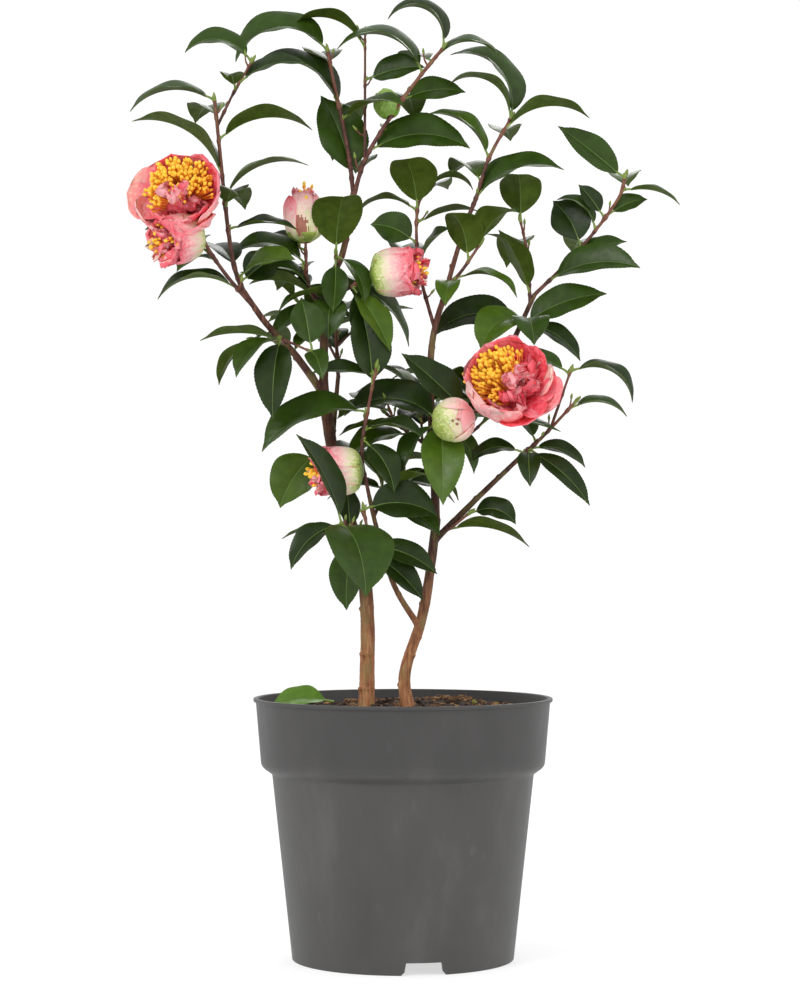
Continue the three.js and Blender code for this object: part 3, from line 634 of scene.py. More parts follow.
def midrib(leaf, share):
    """Where a blade's midrib is after each share of its length, and its rise there in radians."""
    start, turn = math.radians(leaf.rise), math.radians(leaf.droop)
    rise = start - turn * share
    level = leaf.length * (math.sin(start) - np.sin(rise)) / turn
    up = leaf.length * (np.cos(rise) - math.cos(start)) / turn
    out = direction(leaf.heading, 0)
    base = leaf.root + STALK.length * direction(leaf.heading, leaf.rise)
    return base + np.multiply.outer(level, out) + np.multiply.outer(up, [0, 0, 1]), rise


def settled(leaf, corners):
    """The leaf at the turn that puts its tip on a corner of its solid, or None if it has no place."""
    for heading, rise in TURNS:
        turned = leaf._replace(heading=leaf.heading + heading, rise=leaf.rise + rise)
        tip, _ = midrib(turned, 1.0)
        if corners.find(tip)[2] < 0.05:
            return turned
    return None


def corners_of(node):
    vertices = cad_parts[node].data.vertices
    tree = KDTree(len(vertices))
    for k, vertex in enumerate(vertices):
        tree.insert(vertex.co / MM, k)
    tree.balance()
    return tree


# ---------------------------------------------------------------- leaves
# Material slots of a leaves piece; an upper side takes one of the four tones.
UPPER = {"dark": 0, "mid": 1, "fresh": 2, "light": 3}
UNDER, RIB, PETIOLE = 4, 5, 6
BLADE = Sizes(
    stations=48, thick=0.45, rib=0.45, keel=0.9, tooth=0.35, veins=8, vein_slant=50,
    vein_width=1.2, vein_depth=0.28, point=0.3, wave=0.05,
)
ACROSS = np.array([0, 0.1, 0.24, 0.4, 0.58, 0.76, 0.9, 1])  # from the rib's edge to the margin
BELOW = np.array([0, 1])


def breadth(share):
    """How wide a blade is at a share of its length, against its greatest width."""
    widest = LEAF.widest
    rising = (share / widest) ** widest
    falling = ((1 - share) / (1 - widest)) ** (1 - widest)
    drawn_out = 1 - BLADE.point * np.exp(-(((share - 0.93) / 0.06) ** 2))
    return (rising * falling) ** LEAF.fullness * drawn_out


def veins(share, out, leaf, reach, offset):
    """How deep the side veins sink a blade, for points at shares of its length and half width."""
    slant = math.radians(BLADE.vein_slant)
    forward = out * reach / math.tan(slant) / leaf.length + 0.06 * out**3
    phase = (share - forward - 0.04) * BLADE.veins / 0.86 + offset
    apart = np.abs(phase - np.round(phase)) * 0.86 / BLADE.veins
    distance = apart * leaf.length * math.sin(slant)
    fade = np.clip(4 * out, 0, 1) * np.clip(3 * (1 - out), 0, 1)
    return BLADE.vein_depth * fade * np.exp(-((distance / BLADE.vein_width) ** 2))


def add_leaf(skin, leaf, way, tone, draw):
    """A folded, arching blade with a toothed margin, and its stalk, which leaves the twig along way."""
    count = BLADE.stations
    share = np.linspace(0, 1, count + 1)
    centre, rise = midrib(leaf, share)
    across = direction(leaf.heading - 90, 0)
    level = direction(leaf.heading, 0)
    along = np.outer(np.cos(rise), level) + np.outer(np.sin(rise), [0, 0, 1])
    up = np.cross(across, along)
    facing = -1 if math.cos(math.radians(leaf.heading)) < 0 else 1
    roll = math.radians(leaf.lean) * facing + math.radians(12) * (draw() - 0.5) * share
    side = across * np.cos(roll)[:, None] - up * np.sin(roll)[:, None]
    top = up * np.cos(roll)[:, None] + across * np.sin(roll)[:, None]
    centre = centre + side * (0.03 * leaf.length * (draw() - 0.5) * np.sin(np.pi * share))[:, None]

    reach = leaf.width / 2 * breadth(share)
    rib = np.minimum(BLADE.rib * (1 - 0.7 * share), 0.35 * reach)
    fold = math.radians(LEAF.fold) * (0.75 + 0.5 * draw())
    wave = BLADE.wave * (0.5 + draw())
    phases = [2 * np.pi * draw(), 2 * np.pi * draw()]
    tooth = BLADE.tooth * (np.arange(count + 1) % 2) * (share > 0.12) * (share < 0.97)

    def half(way_out, shares, lift):
        """One half of the blade's upper or lower side, from its rib's edge to its margin."""
        offset = 0 if way_out > 0 else 0.5
        out = rib[:, None] + (reach - rib)[:, None] * shares
        out_share = out / np.maximum(reach, 1e-6)[:, None]
        height = out * math.sin(fold) * (1.5 - 0.6 * out_share)
        curl = np.sin(2 * np.pi * 2.2 * share + phases[way_out > 0])
        height += wave * reach[:, None] * out_share**3 * curl[:, None]
        height -= veins(share[:, None], out_share, leaf, reach[:, None], offset)
        out = out * math.cos(fold) + tooth[:, None] * (shares == 1)
        flat = centre[:, None] + side[:, None] * (way_out * out)[..., None]
        return flat + top[:, None] * (height + lift)[..., None]

    def upright(height):
        return (centre + top * np.reshape(height, (-1, 1)))[:, None]

    def lay(shares, lift, height, slot, flip):
        """Lays one side of the blade, with its rib at a height in the middle; gives its points."""
        rows = [half(-1, shares, lift)[:, ::-1], upright(height), half(1, shares, lift)]
        points, slots = np.concatenate(rows, axis=1), np.full(2 * len(shares), slot)
        slots[len(shares) - 1 : len(shares) + 1] = RIB
        skin.grid(points, np.tile(slots, count), flip=flip)
        return points

    keel = -BLADE.keel * (1 - 0.8 * share) * np.clip(20 * share, 0.3, 1)
    upper = lay(ACROSS, 0, -0.1 * rib, UPPER[tone], False)
    lower = lay(BELOW, -BLADE.thick, keel, UNDER, True)
    for edge, flip in ((np.s_[:, 0], False), (np.s_[:, -1], True)):
        skin.grid(np.stack([upper[edge], lower[edge]]), UNDER, flip=flip)

    bend = leaf.root + STALK.length * (0.5 * along[0] + 0.25 * way)
    into, _ = midrib(leaf, 0.04)
    t = np.linspace(0, 1, 9)[:, None]
    stalk = (1 - t) ** 2 * leaf.root + 2 * t * (1 - t) * bend + t**2 * (into - 0.3 * top[0])
    skin.tube(stalk, STALK.radius * (1.15 - 0.35 * t[:, 0]), 8, PETIOLE)


def add_bud(skin, place, way, length, radius, slot):
    """A pointed bud with the low ridges of its scales."""
    t = np.linspace(0, 1, 11)
    outline = np.interp(t, [0, 0.1, 0.4, 0.75, 0.93, 1], [0.65, 0.8, 1, 0.6, 0.22, 0.04])

    def scales(turns, k):
        return radius * outline[k] * 0.1 * np.cos(3 * turns + 7 * t[k])

    skin.tube(place + np.outer(t * length, way), radius * outline, 9, slot, scales)


# ---------------------------------------------------------------- twigs
# Material slots of a twigs piece.
OLD, YOUNG, BUD = 0, 1, 2
NODE = Sizes(swell=0.45, half=1.6)
SPUR = Sizes(shortest=5, longest=12, radius=0.7)


def grain(turns, distance, shift, rows=0.25, around=2.2):
    """Noise round a limb, drawn out along it."""
    return np.array([
        noise.noise(Vector((around * math.cos(a), around * math.sin(a), rows * distance + shift)))
        for a in turns
    ])


def add_twig(skin, line, radius, leaves, blossomed, draw):
    """A shoot's wood, swollen at its nodes, with a bud above each leaf and a few short spurs."""
    places, distances = line.even(1.3)
    length = distances[-1]
    radii = radius * (1 - (1 - TWIG.tip) * distances / length)
    spurs = [line.stretches * (k + 0.5 + 0.3 * draw()) / 3 for k in range(3) if length > 50]
    for at in [leaf.at for leaf in leaves] + spurs:
        apart = (distances - np.interp(at, places, distances)) / NODE.half
        radii = radii + NODE.swell * np.exp(-(apart**2))
    shift = 100 * draw()
    slots = np.where(distances[1:] > 0.6 * length, YOUNG, OLD)
    skin.tube(
        line.at(places), radii, 10, slots,
        lambda turns, k: 0.14 * grain(turns, distances[k], shift),
    )
    for leaf in leaves:
        way = line.way(min(leaf.at, line.stretches - 0.02))
        between_them = unit(way + 0.7 * direction(leaf.heading, leaf.rise))
        add_bud(skin, leaf.root + 0.6 * between_them, between_them, 3.5 + 1.5 * draw(), 1.0, BUD)
    for at in spurs:
        heading, rise = 360 * draw(), 20 + 40 * draw()
        size = SPUR.shortest + (SPUR.longest - SPUR.shortest) * draw()
        spur = walk(line.at(at), [[0.5 * size, heading, rise], [0.5 * size, heading, rise + 25]])
        t = np.linspace(0, 2, 7)
        skin.tube(spur.at(t), SPUR.radius * (1.2 - 0.2 * t), 8, YOUNG)
        add_bud(skin, spur.at(1.95), spur.way(1.9), 4 + 2 * draw(), 1.1, BUD)
    if not blossomed:
        add_bud(skin, line.at(line.stretches - 0.02), line.way(line.stretches - 0.03), 8, 1.7, BUD)


# ---------------------------------------------------------------- limbs
BARK = Sizes(
    step=1.1, sides=30, ridge=0.28, fine=0.13, knot=0.9, apart=27, collar_over=4, flare_over=14,
)


def add_limb(skin, name, line, draw):
    """A limb with ridged bark, old leaf scars and a collar where it leaves its parent."""
    limb = LIMBS[name]
    places, distances = line.even(BARK.step)
    length = distances[-1]
    root, tip = limb.radii
    over = BARK.flare_over if limb.foot else BARK.collar_over
    radii = root + (tip - root) * distances / length + limb.flare * np.exp(-distances / over)
    scars = []
    while not scars or scars[-1][0] < length:
        last = scars[-1][0] if scars else 0
        scars.append((last + BARK.apart * (0.5 + draw()), 2 * np.pi * draw()))
    shift = 100 * draw()
    scale = root / 4

    def relief(turns, k):
        at = distances[k]
        rough = BARK.ridge * grain(turns, at, shift, 0.09, 2.6)
        rough += BARK.fine * grain(turns, at, shift + 50, 0.5, 5)
        for scar, facing in scars:
            along = math.exp(-(((at - scar) / 2.2) ** 2)) - 0.8 * math.exp(-(((at - scar - 1.6) / 0.9) ** 2))
            rough += BARK.knot * along * np.clip(np.cos(turns - facing), 0, 1) ** 2
            rough += 0.12 * math.exp(-(((at - scar) / 0.8) ** 2))
        return scale * rough

    skin.tube(line.at(places), radii, BARK.sides, 0, relief)


# ---------------------------------------------------------------- blossoms
# The tints of a petals piece, from its calyx to its heart. A petal is dealt a tint for each face, from a
# level at its foot to one at its edge, with faint streaks along it. Most inner sides start at red at
# their foot: painted shade deep in the blossom.
TINTS = {
    "green": [(108, 128, 40), (126, 146, 54)],
    "lime": [(146, 164, 70), (164, 178, 88)],
    "pear": [(188, 194, 118), (200, 204, 132)],
    "cream": [(226, 212, 164), (232, 214, 172)],
    "shell": [(246, 204, 184), (248, 208, 190)],
    "blush": [(250, 180, 174), (252, 190, 184)],
    "pale": [(250, 154, 158), (252, 166, 168)],
    "pink": [(250, 122, 134), (252, 136, 146)],
    "coral": [(248, 88, 104), (252, 104, 116)],
    "red": [(232, 48, 66), (240, 64, 80)],
    "leafy": [(106, 140, 40), (120, 154, 54)],
    # sheen is a painted highlight on the green bud's scales.
    "sheen": [(140, 170, 78), (154, 182, 94)],
    "bruise": [(150, 88, 70), (172, 108, 88)],
}
GREEN, LIME, PEAR, CREAM, SHELL, BLUSH, PALE, PINK, CORAL, RED, LEAFY, SHEEN, BRUISE = range(len(TINTS))
FILAMENT, ANTHER = 0, 1
PETAL = Sizes(rows=24, columns=21, small=17, thick=0.4, streak=0.35, speckle=0.5)
BRUISED = Sizes(at=0.374, tall=0.22, wide=0.8, size=0.6)
# The outlines that petals follow from the stalk outwards, as [radius, height].
OUTLINES = {
    "open": [[4, 0], [17, 5], [31, 15], [37, 28]],
    "opening": [[4, 0], [15, 5], [19, 17], [18, 30], [19, 42]],
    "bud": [[4, 0], [13, 6], [16, 19], [15, 31], [7, 41], [-3, 44]],
    "round": [[4, 0], [13, 5], [17, 17], [12, 29], [2, 33.4], [-8, 31.5]],
    "green": [[3, 0], [8, 4], [11, 13], [7, 23], [0, 26.8], [-6, 24]],
    "broad": [[4, 0], [18, 7], [33, 12], [44, 22]],
    "tall": [[4, 0], [17, 5], [29, 17], [33, 36]],
    "bowed": [[4, 0], [20, 3], [33, 13], [35, 29], [29, 41]],
    "crest": [[3, 1], [13, 6], [23, 17], [25, 33]],
    "heart": [[3, 2], [8, 9], [14, 19], [17, 31]],
    "mouth": [[5, 14], [13, 22], [17, 33], [18, 45]],
    "tuft": [[1, 14], [5, 26], [9, 37], [11, 47]],
    "tip": [[3, 28], [7, 35], [7, 41], [4, 46]],
    "scar": [[0, 29], [1.5, 31.5], [3.5, 33.5]],
}
# The open blossoms: the side of the crumpled heart, the sway of the stamens as [facing, reach], and
# the petals as [outline, facing, width, reach, outer tints, inner tints].
# An inner tint that starts at RED paints shade at the foot inside the bowl.
OPEN = {
    "right_bloom": {
        "heart": 75, "sway": [235, 12],
        "petals": [
            ["broad", 66, 56, 0.88, (PALE, CORAL), (RED, PALE)],
            ["tall", 110, 38, 0.8, (BLUSH, PALE), (CORAL, SHELL)],
            ["broad", 96, 44, 0.71, (BLUSH, PINK), (RED, PINK)],
            ["tall", 148, 40, 0.9, (PALE, CORAL), (RED, CORAL)],
            ["tall", 184, 44, 1.04, (PALE, CORAL), (RED, CORAL)],
            ["tall", 220, 48, 1.06, (BLUSH, PINK), (RED, PINK)],
            ["tall", 260, 52, 1.16, (SHELL, PINK), (RED, PINK)],
            ["bowed", 306, 60, 1.0, (PINK, BLUSH), (RED, PALE)],
            ["bowed", 346, 56, 0.88, (CORAL, BLUSH), (RED, PINK)],
            ["broad", 26, 52, 0.94, (CORAL, PINK), (RED, CORAL)],
            ["crest", 280, 30, 0.92, (PALE, PINK), (RED, CORAL)],
            ["crest", 200, 32, 0.96, (PINK, CORAL), (RED, CORAL)],
            ["crest", 325, 30, 0.8, (BLUSH, PINK), (RED, PALE)],
        ],
    },
    "left_bloom": {
        "heart": 15, "sway": [180, 4],
        "petals": [
            ["broad", 266, 60, 0.88, (BLUSH, PALE), (RED, BLUSH)],
            ["broad", 228, 46, 0.78, (PALE, PINK), (RED, PALE)],
            ["tall", 194, 44, 0.78, (PALE, CORAL), (RED, CORAL)],
            ["tall", 152, 54, 0.84, (PINK, CORAL), (RED, PINK)],
            ["tall", 110, 54, 0.98, (SHELL, PINK), (RED, CORAL)],
            ["tall", 70, 50, 1.02, (SHELL, PALE), (RED, PINK)],
            ["bowed", 32, 44, 0.72, (SHELL, PALE), (RED, PINK)],
            ["bowed", 326, 42, 0.62, (BLUSH, PINK), (CORAL, BLUSH)],
            ["bowed", 292, 40, 0.72, (BLUSH, PINK), (CORAL, BLUSH)],
            ["bowed", 0, 40, 0.6, (SHELL, PINK), (CORAL, BLUSH)],
            ["crest", 320, 26, 0.9, (PALE, CORAL), (CORAL, PALE)],
            ["crest", 350, 24, 0.84, (PALE, PINK), (CORAL, BLUSH)],
            ["crest", 22, 26, 0.88, (PALE, PINK), (RED, PALE)],
            ["crest", 52, 24, 0.86, (PALE, CORAL), (RED, PINK)],
        ],
    },
}
BUD_BRUISED = 3
ROUND_FLUSH = Sizes(side=115, levels=2.4)
STAMEN = Sizes(radius=0.6, clear=65, bundled=0.55, wander=6, pod=[-0.6, 0, 1, 2.3, 3.1])


class Bloom:
    """A blossom: it grows upright on the origin, turned and put on its stalk's tip as it is laid."""

    def __init__(self, owner, skins, tip, heading, rise, draw):
        self.owner, self.tip, self.draw = owner, tip, draw
        self.petals, self.stamens = skins["petals"], skins["stamens"]
        self.turn = turning(2, math.radians(heading)) @ turning(1, math.radians(90 - rise))

    def place(self, points):
        return points @ self.turn.T + self.tip

    def petal(self, outline, width, facing, *, outer, inner, cup, ragged=0.0, reach=1.0, scale=1.0,
              ruffle=0.0, curl=0.0, bruised=False, flushed=False):
        """A petal that follows an outline as far as its reach, bent round by its cup. Its outer and
        inner tints go from foot to edge; a flushed one is tinted by its side of the blossom."""
        draw, line = self.draw, Line(OUTLINES[outline])
        coarse = 2 if width < PETAL.small else 1
        s = np.linspace(0, 1, PETAL.rows // coarse)[:, None]
        u = np.linspace(-1, 1, PETAL.columns // coarse)[None, :]
        phase, turns = 2 * np.pi * draw(), 1.6 + 1.6 * draw()
        shape = s**0.5 * np.sqrt(np.clip(1 - s**6, 0, 1))
        across = width / 2 * np.maximum(shape, 0.12 * (1 - s)) * u
        nicks = 0.5 + 0.5 * np.cos((3 + 2 * turns) * u + phase)
        place = reach * line.stretches * s * (1 - ragged * nicks * s**3)
        spine = line.at(place) * scale
        way = line.way(np.clip(place, 0.02, line.stretches - 0.02))
        normal = np.stack([-way[..., 1], way[..., 0]], axis=-1)
        crumple = ruffle * s**1.5 * (
            np.sin(np.pi * turns * u + phase) * 0.6
            + np.sin(np.pi * 2.7 * turns * u * s + 2 * phase) * 0.4
        )
        inward = cup * (1 - np.cos(across / cup)) + crumple - curl * s**4
        sideways = cup * np.sin(across / cup)
        a = math.radians(facing)

        def side_at(lift):
            radial = spine[..., 0] + normal[..., 0] * (inward + lift)
            height = spine[..., 1] + normal[..., 1] * (inward + lift)
            x = radial * math.cos(a) - sideways * math.sin(a)
            y = radial * math.sin(a) + sideways * math.cos(a)
            return self.place(np.stack([x, y, height], axis=-1))

        def spread(most, *shape):
            drawn = np.array([draw() for _ in range(math.prod(shape))]).reshape(shape)
            return 2 * most * (drawn - 0.5)

        middle = (s[1:] + s[:-1]) / 2
        streaks = spread(PETAL.streak, u.size - 1)
        speckles = spread(PETAL.speckle, middle.size, u.size - 1)

        def dealt(levels):
            low, high = levels
            level = low + (high - low) * middle + streaks * (0.4 + 0.6 * middle) + speckles
            lowest, highest = max(GREEN, min(levels)), max(levels)
            if flushed:
                lowest, highest = GREEN, PALE
                side = a - math.radians(ROUND_FLUSH.side) + across[1:, 1:] / cup
                level = level + ROUND_FLUSH.levels * np.cos(side)
            slots = np.clip(np.round(level), lowest, highest).astype(int)
            if bruised:
                away = ((s[1:] - BRUISED.at) / BRUISED.tall) ** 2 + (u[:, 1:] / BRUISED.wide) ** 2
                slots[away + 0.5 * speckles + 0.8 * streaks < BRUISED.size] = BRUISE
            return slots.ravel()

        upper, lower = side_at(PETAL.thick), side_at(0)
        self.petals.sheet(upper, lower, dealt(inner), dealt(outer), round(max(outer)))

    def calyx(self, outline, count, reach):
        for k in range(count):
            self.petal(
                outline, 18, TURN * k, outer=(GREEN, LIME), inner=(GREEN, LIME), cup=12,
                reach=reach * (0.7 + 0.3 * k / count), scale=1.05 - 0.01 * k,
            )

    def brush(self, count, spread, length, hollow, clear=None, bundles=0, sway=(0, 0)):
        """Filaments from a ring round the middle, each with its anther, drawn together in bundles
        and swayed to one side. Few stand near a clear side."""
        draw, drift = self.draw, sway[1] * self.turn @ direction(sway[0], 0)
        for k in range(count):
            share, facing = (k + 0.5) / count, TURN * k
            if bundles:
                centre = round(facing * bundles / 360) * 360 / bundles
                facing += STAMEN.bundled * (centre - facing)
            if clear is not None and share > 0.3 and apart(facing, clear) < STAMEN.clear:
                continue
            a = math.radians(facing)
            lean = math.radians(spread * (0.1 + share) + 14 * (draw() - 0.5))
            tall = length * (1.08 - 0.3 * share + 0.26 * (draw() - 0.5))
            out = np.array([math.cos(a), math.sin(a), 0])
            swerve = STAMEN.wander * (draw() - 0.5) * np.array([-math.sin(a), math.cos(a), 0])
            t = np.linspace(0, 1, 6)[:, None]
            bow = math.sin(lean) * tall * t**1.4
            stem = (hollow + 5 * share) * out + bow * out + swerve * t**2
            stem = self.place(stem + (2 + math.cos(lean) * tall * t) * [0, 0, 1]) + drift * t
            self.stamens.tube(stem, STAMEN.radius, 5, FILAMENT)
            way = unit(stem[-1] - stem[-2] + 1.4 * self.turn @ (out * (draw() - 0.5)))
            fat = (0.75 + 0.45 * draw()) * np.array([0.3, 1.1, 1.45, 1.2, 0.4])
            self.stamens.tube(stem[-1] + np.outer(STAMEN.pod, way), fat, 7, ANTHER)


def apart(one, other):
    """The angle between two headings, in degrees."""
    return abs((one - other + 180) % 360 - 180)


def open_bloom(bloom):
    """A bowl of broad ragged petals round a brush of stamens and a crumpled heart to one side."""
    draw, own = bloom.draw, OPEN[bloom.owner]
    bloom.calyx("open", 5, 0.3)
    for k, (outline, facing, width, reach, outer, inner) in enumerate(own["petals"]):
        cup, ruffle, ragged = (32, 0.6, 0.03) if outline == "broad" else (26, 1.6, 0.14)
        bloom.petal(
            outline, width, facing, outer=outer, inner=inner, cup=cup, ragged=ragged, reach=reach,
            scale=1.02 - 0.01 * k, ruffle=ruffle, curl=3 * draw(),
        )
    for k in range(34):
        facing = own["heart"] + 170 * (draw() - 0.5)
        outline = "crest" if k % 5 == 0 else "tuft" if k % 3 == 0 else "heart"
        bloom.petal(
            outline, 10 + 12 * draw(), facing, reach=0.55 + 0.35 * draw(), scale=0.6 + 0.5 * draw(),
            cup=5 + 6 * draw(), curl=8 * (draw() - 0.5), ruffle=5.5, ragged=0.35,
            outer=(RED, PINK if k % 3 else PALE), inner=(RED, PALE if k % 4 == 0 else CORAL),
        )
    bloom.brush(
        count=380, spread=38, length=28, hollow=4, clear=own["heart"], bundles=13, sway=own["sway"],
    )


def opening_bloom(bloom):
    """An ovoid of wrapped petals that part into a mouth of broad petals, with a crumpled heart."""
    draw = bloom.draw
    bloom.calyx("opening", 5, 0.3)
    for k in range(8):
        bloom.petal(
            "opening", 36 + 5 * draw(), TURN * k + 14 * draw(), cup=18, ragged=0.012 * k,
            outer=(GREEN - 2, PINK) if k < 3 else (GREEN - 1.2, CORAL), inner=(RED, PINK),
            reach=0.66 + 0.045 * k, scale=1.02 - 0.016 * k, ruffle=0.4 + 0.2 * k, curl=0.4 * k * draw(),
        )
    for k in range(9):
        bloom.petal(
            "mouth", 25 + 7 * draw(), TURN * k + 20 * draw(), cup=11, ragged=0.24,
            outer=(PINK, PINK if k % 2 else CORAL), inner=(RED, CORAL if k % 3 else BLUSH),
            reach=0.78 + 0.2 * draw(), scale=1 - 0.03 * k, ruffle=3.4,
        )
    for k in range(16):
        bloom.petal(
            "tuft", 9 + 7 * draw(), TURN * k, cup=6, ragged=0.3, outer=(CORAL, PALE if k % 2 else RED),
            inner=(RED, CORAL if k % 2 else SHELL), reach=0.8 + 0.2 * draw(), scale=1.02 - 0.02 * k,
            ruffle=3.6,
        )
    bloom.brush(count=44, spread=12, length=34, hollow=2, bundles=4)


def bud_bloom(bloom):
    """An upright bud of wrapped petals, just parting at its tip, one of them bruised."""
    draw = bloom.draw
    bloom.calyx("bud", 4, 0.26)
    for k in range(8):
        bloom.petal(
            "bud", 29, TURN * k + 60, outer=(LIME, PALE if k % 2 else CORAL), inner=(PINK, PALE),
            cup=14, ragged=0.04, reach=0.7 + 0.04 * k, scale=1.01 - 0.016 * k, ruffle=0.5,
            bruised=k == BUD_BRUISED,
        )
    for k in range(9):
        bloom.petal(
            "tip", 9, 40 * k + 20 * draw(), outer=(PINK, PALE), inner=(RED, CORAL), cup=6, ragged=0.3,
            reach=0.62 + 0.24 * draw(), ruffle=2.5,
        )
    bloom.brush(count=24, spread=8, length=36, hollow=0)


def round_bloom(bloom):
    """A closed round bud: scales that lie over each other up to a small scar at its tip."""
    for k in range(9):
        bloom.petal(
            "round", 32 - k, TURN * k + 40, outer=(PEAR, SHELL), inner=(PALE, PALE), cup=15,
            reach=0.62 + 0.048 * k, scale=1.02 - 0.012 * k, curl=0.4, flushed=True,
        )
    for k in range(3):
        bloom.petal(
            "scar", 3, 120 * k + 30 * bloom.draw(), outer=(BRUISE, BRUISE), inner=(BRUISE, BRUISE),
            cup=4, ragged=0.3, ruffle=0.8,
        )


def green_bloom(bloom):
    """A hard green bud of overlapping scales."""
    # The outer sides lighten from leafy to sheen at their edges and in streaks: a painted highlight.
    for k in range(9):
        bloom.petal(
            "green", 20 - 0.6 * k, TURN * k, outer=(LEAFY, SHEEN), inner=(LEAFY, LEAFY), cup=10,
            reach=0.44 + 0.07 * k, scale=1.02 - 0.014 * k,
        )


BLOOMS = {
    "open": open_bloom, "opening": opening_bloom, "bud": bud_bloom, "round": round_bloom,
    "green": green_bloom,
}


# ---------------------------------------------------------------- the pot and its soil
def turned(profile, facets, bumps=None):
    """A closed body of revolution; bumps(x, y) lifts its points."""
    profile = np.asarray(profile, float)
    turns = all_round(facets)
    x = np.outer(profile[:, 0], np.cos(turns))
    y = np.outer(profile[:, 0], np.sin(turns))
    z = np.broadcast_to(profile[:, 1:], x.shape).copy()
    if bumps is not None:
        z += bumps(x, y)
    skin = Skin()
    skin.body(np.stack([x, y, z], axis=-1), 0)
    return skin


def rounded(corners):
    """A profile of (radius, height, rounding) corners, each replaced by an arc-like run of points."""
    points = []
    for k, (radius, height, rounding) in enumerate(corners):
        here = np.array([radius, height], float)
        if not rounding:
            points.append(here)
            continue
        before = unit(np.array(corners[k - 1][:2], float) - here) * rounding
        after = unit(np.array(corners[k + 1][:2], float) - here) * rounding
        for t in np.linspace(0, 1, 6):
            points.append(here + (1 - t) ** 2 * before + t**2 * after)
    return points


def pot_profile():
    """The pot's section as (radius, height, rounding), from under its base out, up and back in."""
    base, floor, top, wall = POT.base_at, POT.base_at + POT.base, POT.height, POT.wall
    foot, body, collar, upper = POT.foot, POT.body_top, POT.collar_foot, POT.collar_top
    return rounded([
        (0.5, base, 0), (foot + SLOPE * base - POT.ring, base, 1.5),
        (foot - POT.ring, 0, 0.6), (foot, 0, 1),
        (body, STEP_AT, 1.5), (body + 1.5, STEP_AT + 1, 0.4),
        (collar - 2.2, COLLAR_AT - 2.4, 1.2), (collar - 0.3, COLLAR_AT, 2),
        (collar, COLLAR_AT + 3, 1.2), (upper, top - POT.lip, 0.5),
        (POT.rim - 0.2, top - POT.lip + 0.4, 0.5), (POT.rim, top, 1.1),
        (upper - wall, top, 0.9), (collar - wall, COLLAR_AT + 2, 2),
        (body - wall, STEP_AT + 2.5, 2), (foot + SLOPE * floor - wall, floor, 3),
        (0.5, floor, 0),
    ])


def notch_cutter(heading):
    """The prism that opens one drainage notch in the foot ring."""
    mouth, top, height = NOTCH.mouth / 2, NOTCH.top / 2, NOTCH.height
    outline = [(-mouth, -1), (mouth, -1), (top + 1, 0.3 * height), (top, height), (-top, height),
               (-top - 1, 0.3 * height)]
    way, side = direction(heading, 0), direction(heading + 90, 0)
    rings = np.array([
        [way * (POT.foot + reach) + side * x + [0, 0, z] for x, z in outline]
        for reach in (-NOTCH.depth / 2, NOTCH.depth / 2)
    ])
    skin = Skin()
    skin.body(rings, 0)
    return skin


def make_pot(plastic):
    pot = turned(pot_profile(), POT.facets).made("pot_shell", [plastic])
    cutters = [
        notch_cutter(NOTCH.first + 360 / NOTCH.count * k).made(f"cutter_{k}", [plastic])
        for k in range(NOTCH.count)
    ]
    for cutter in cutters:
        cut = pot.modifiers.new("notch", "BOOLEAN")
        cut.operation, cut.object, cut.solver = "DIFFERENCE", cutter, "EXACT"
    bpy.context.view_layer.update()
    whole = pot.evaluated_get(bpy.context.evaluated_depsgraph_get())
    pot.data = bpy.data.meshes.new_from_object(whole)
    pot.modifiers.clear()
    for cutter in cutters:
        bpy.data.objects.remove(cutter)
    pot.data.set_sharp_from_angle(angle=math.radians(40))
    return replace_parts(pot, "pot")


# Mounds of loose soil, as [height, x, y, half width, half depth].
MOUNDS = [[3.5, 52, 45, 26, 34], [6.5, 0, 28, 66, 56]]
LITTER = Sizes(crumbs=1500, fibres=420)


def heap(x, y):
    """How high the loose soil lies over its level, with its lumps."""
    lift = 0
    for high, at_x, at_y, wide, deep in MOUNDS:
        lift += high * math.exp(-(((x - at_x) / wide) ** 2) - ((y - at_y) / deep) ** 2)
    lift += 2.2 * noise.fractal(Vector((x, y, 7)) / 22, 0.9, 2.1, 4)
    lift += 1.2 * abs(noise.noise(Vector((x, y, 3)) / 3.2))
    return lift


def soil_height(x, y):
    away = math.hypot(x, y) / POT.collar_foot
    level = SOIL.top + (SOIL.edge - SOIL.top) * max(0, (away - 0.7) / 0.3)
    return level + heap(x, y) * min(1, max(0, 8 * (1.02 - away)))


def make_soil(earth):
    """The body of the soil, with a lumpy top."""
    inset, floor, collar = SOIL.inset, SOIL.floor, POT.collar_foot
    edge = collar + (POT.collar_top - collar) * (SOIL.edge - COLLAR_AT) / POT.collar
    rings = np.linspace(edge - inset, 0.5, 76)
    below = [
        (0.5, floor), (POT.foot + SLOPE * floor - inset - 1, floor),
        (POT.body_top - inset - 0.5, STEP_AT + 2.5), (collar - inset - 0.5, COLLAR_AT + 2.5),
    ]
    profile = below + [(ring, 0) for ring in rings]

    def bumps(x, y):
        lifted = np.zeros(x.shape)
        for row in range(len(below), len(x)):
            lifted[row] = [soil_height(a, b) for a, b in zip(x[row], y[row])]
        return lifted

    soil = turned(profile, 200, bumps).made("soil_body", [earth])
    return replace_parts(soil, "soil")


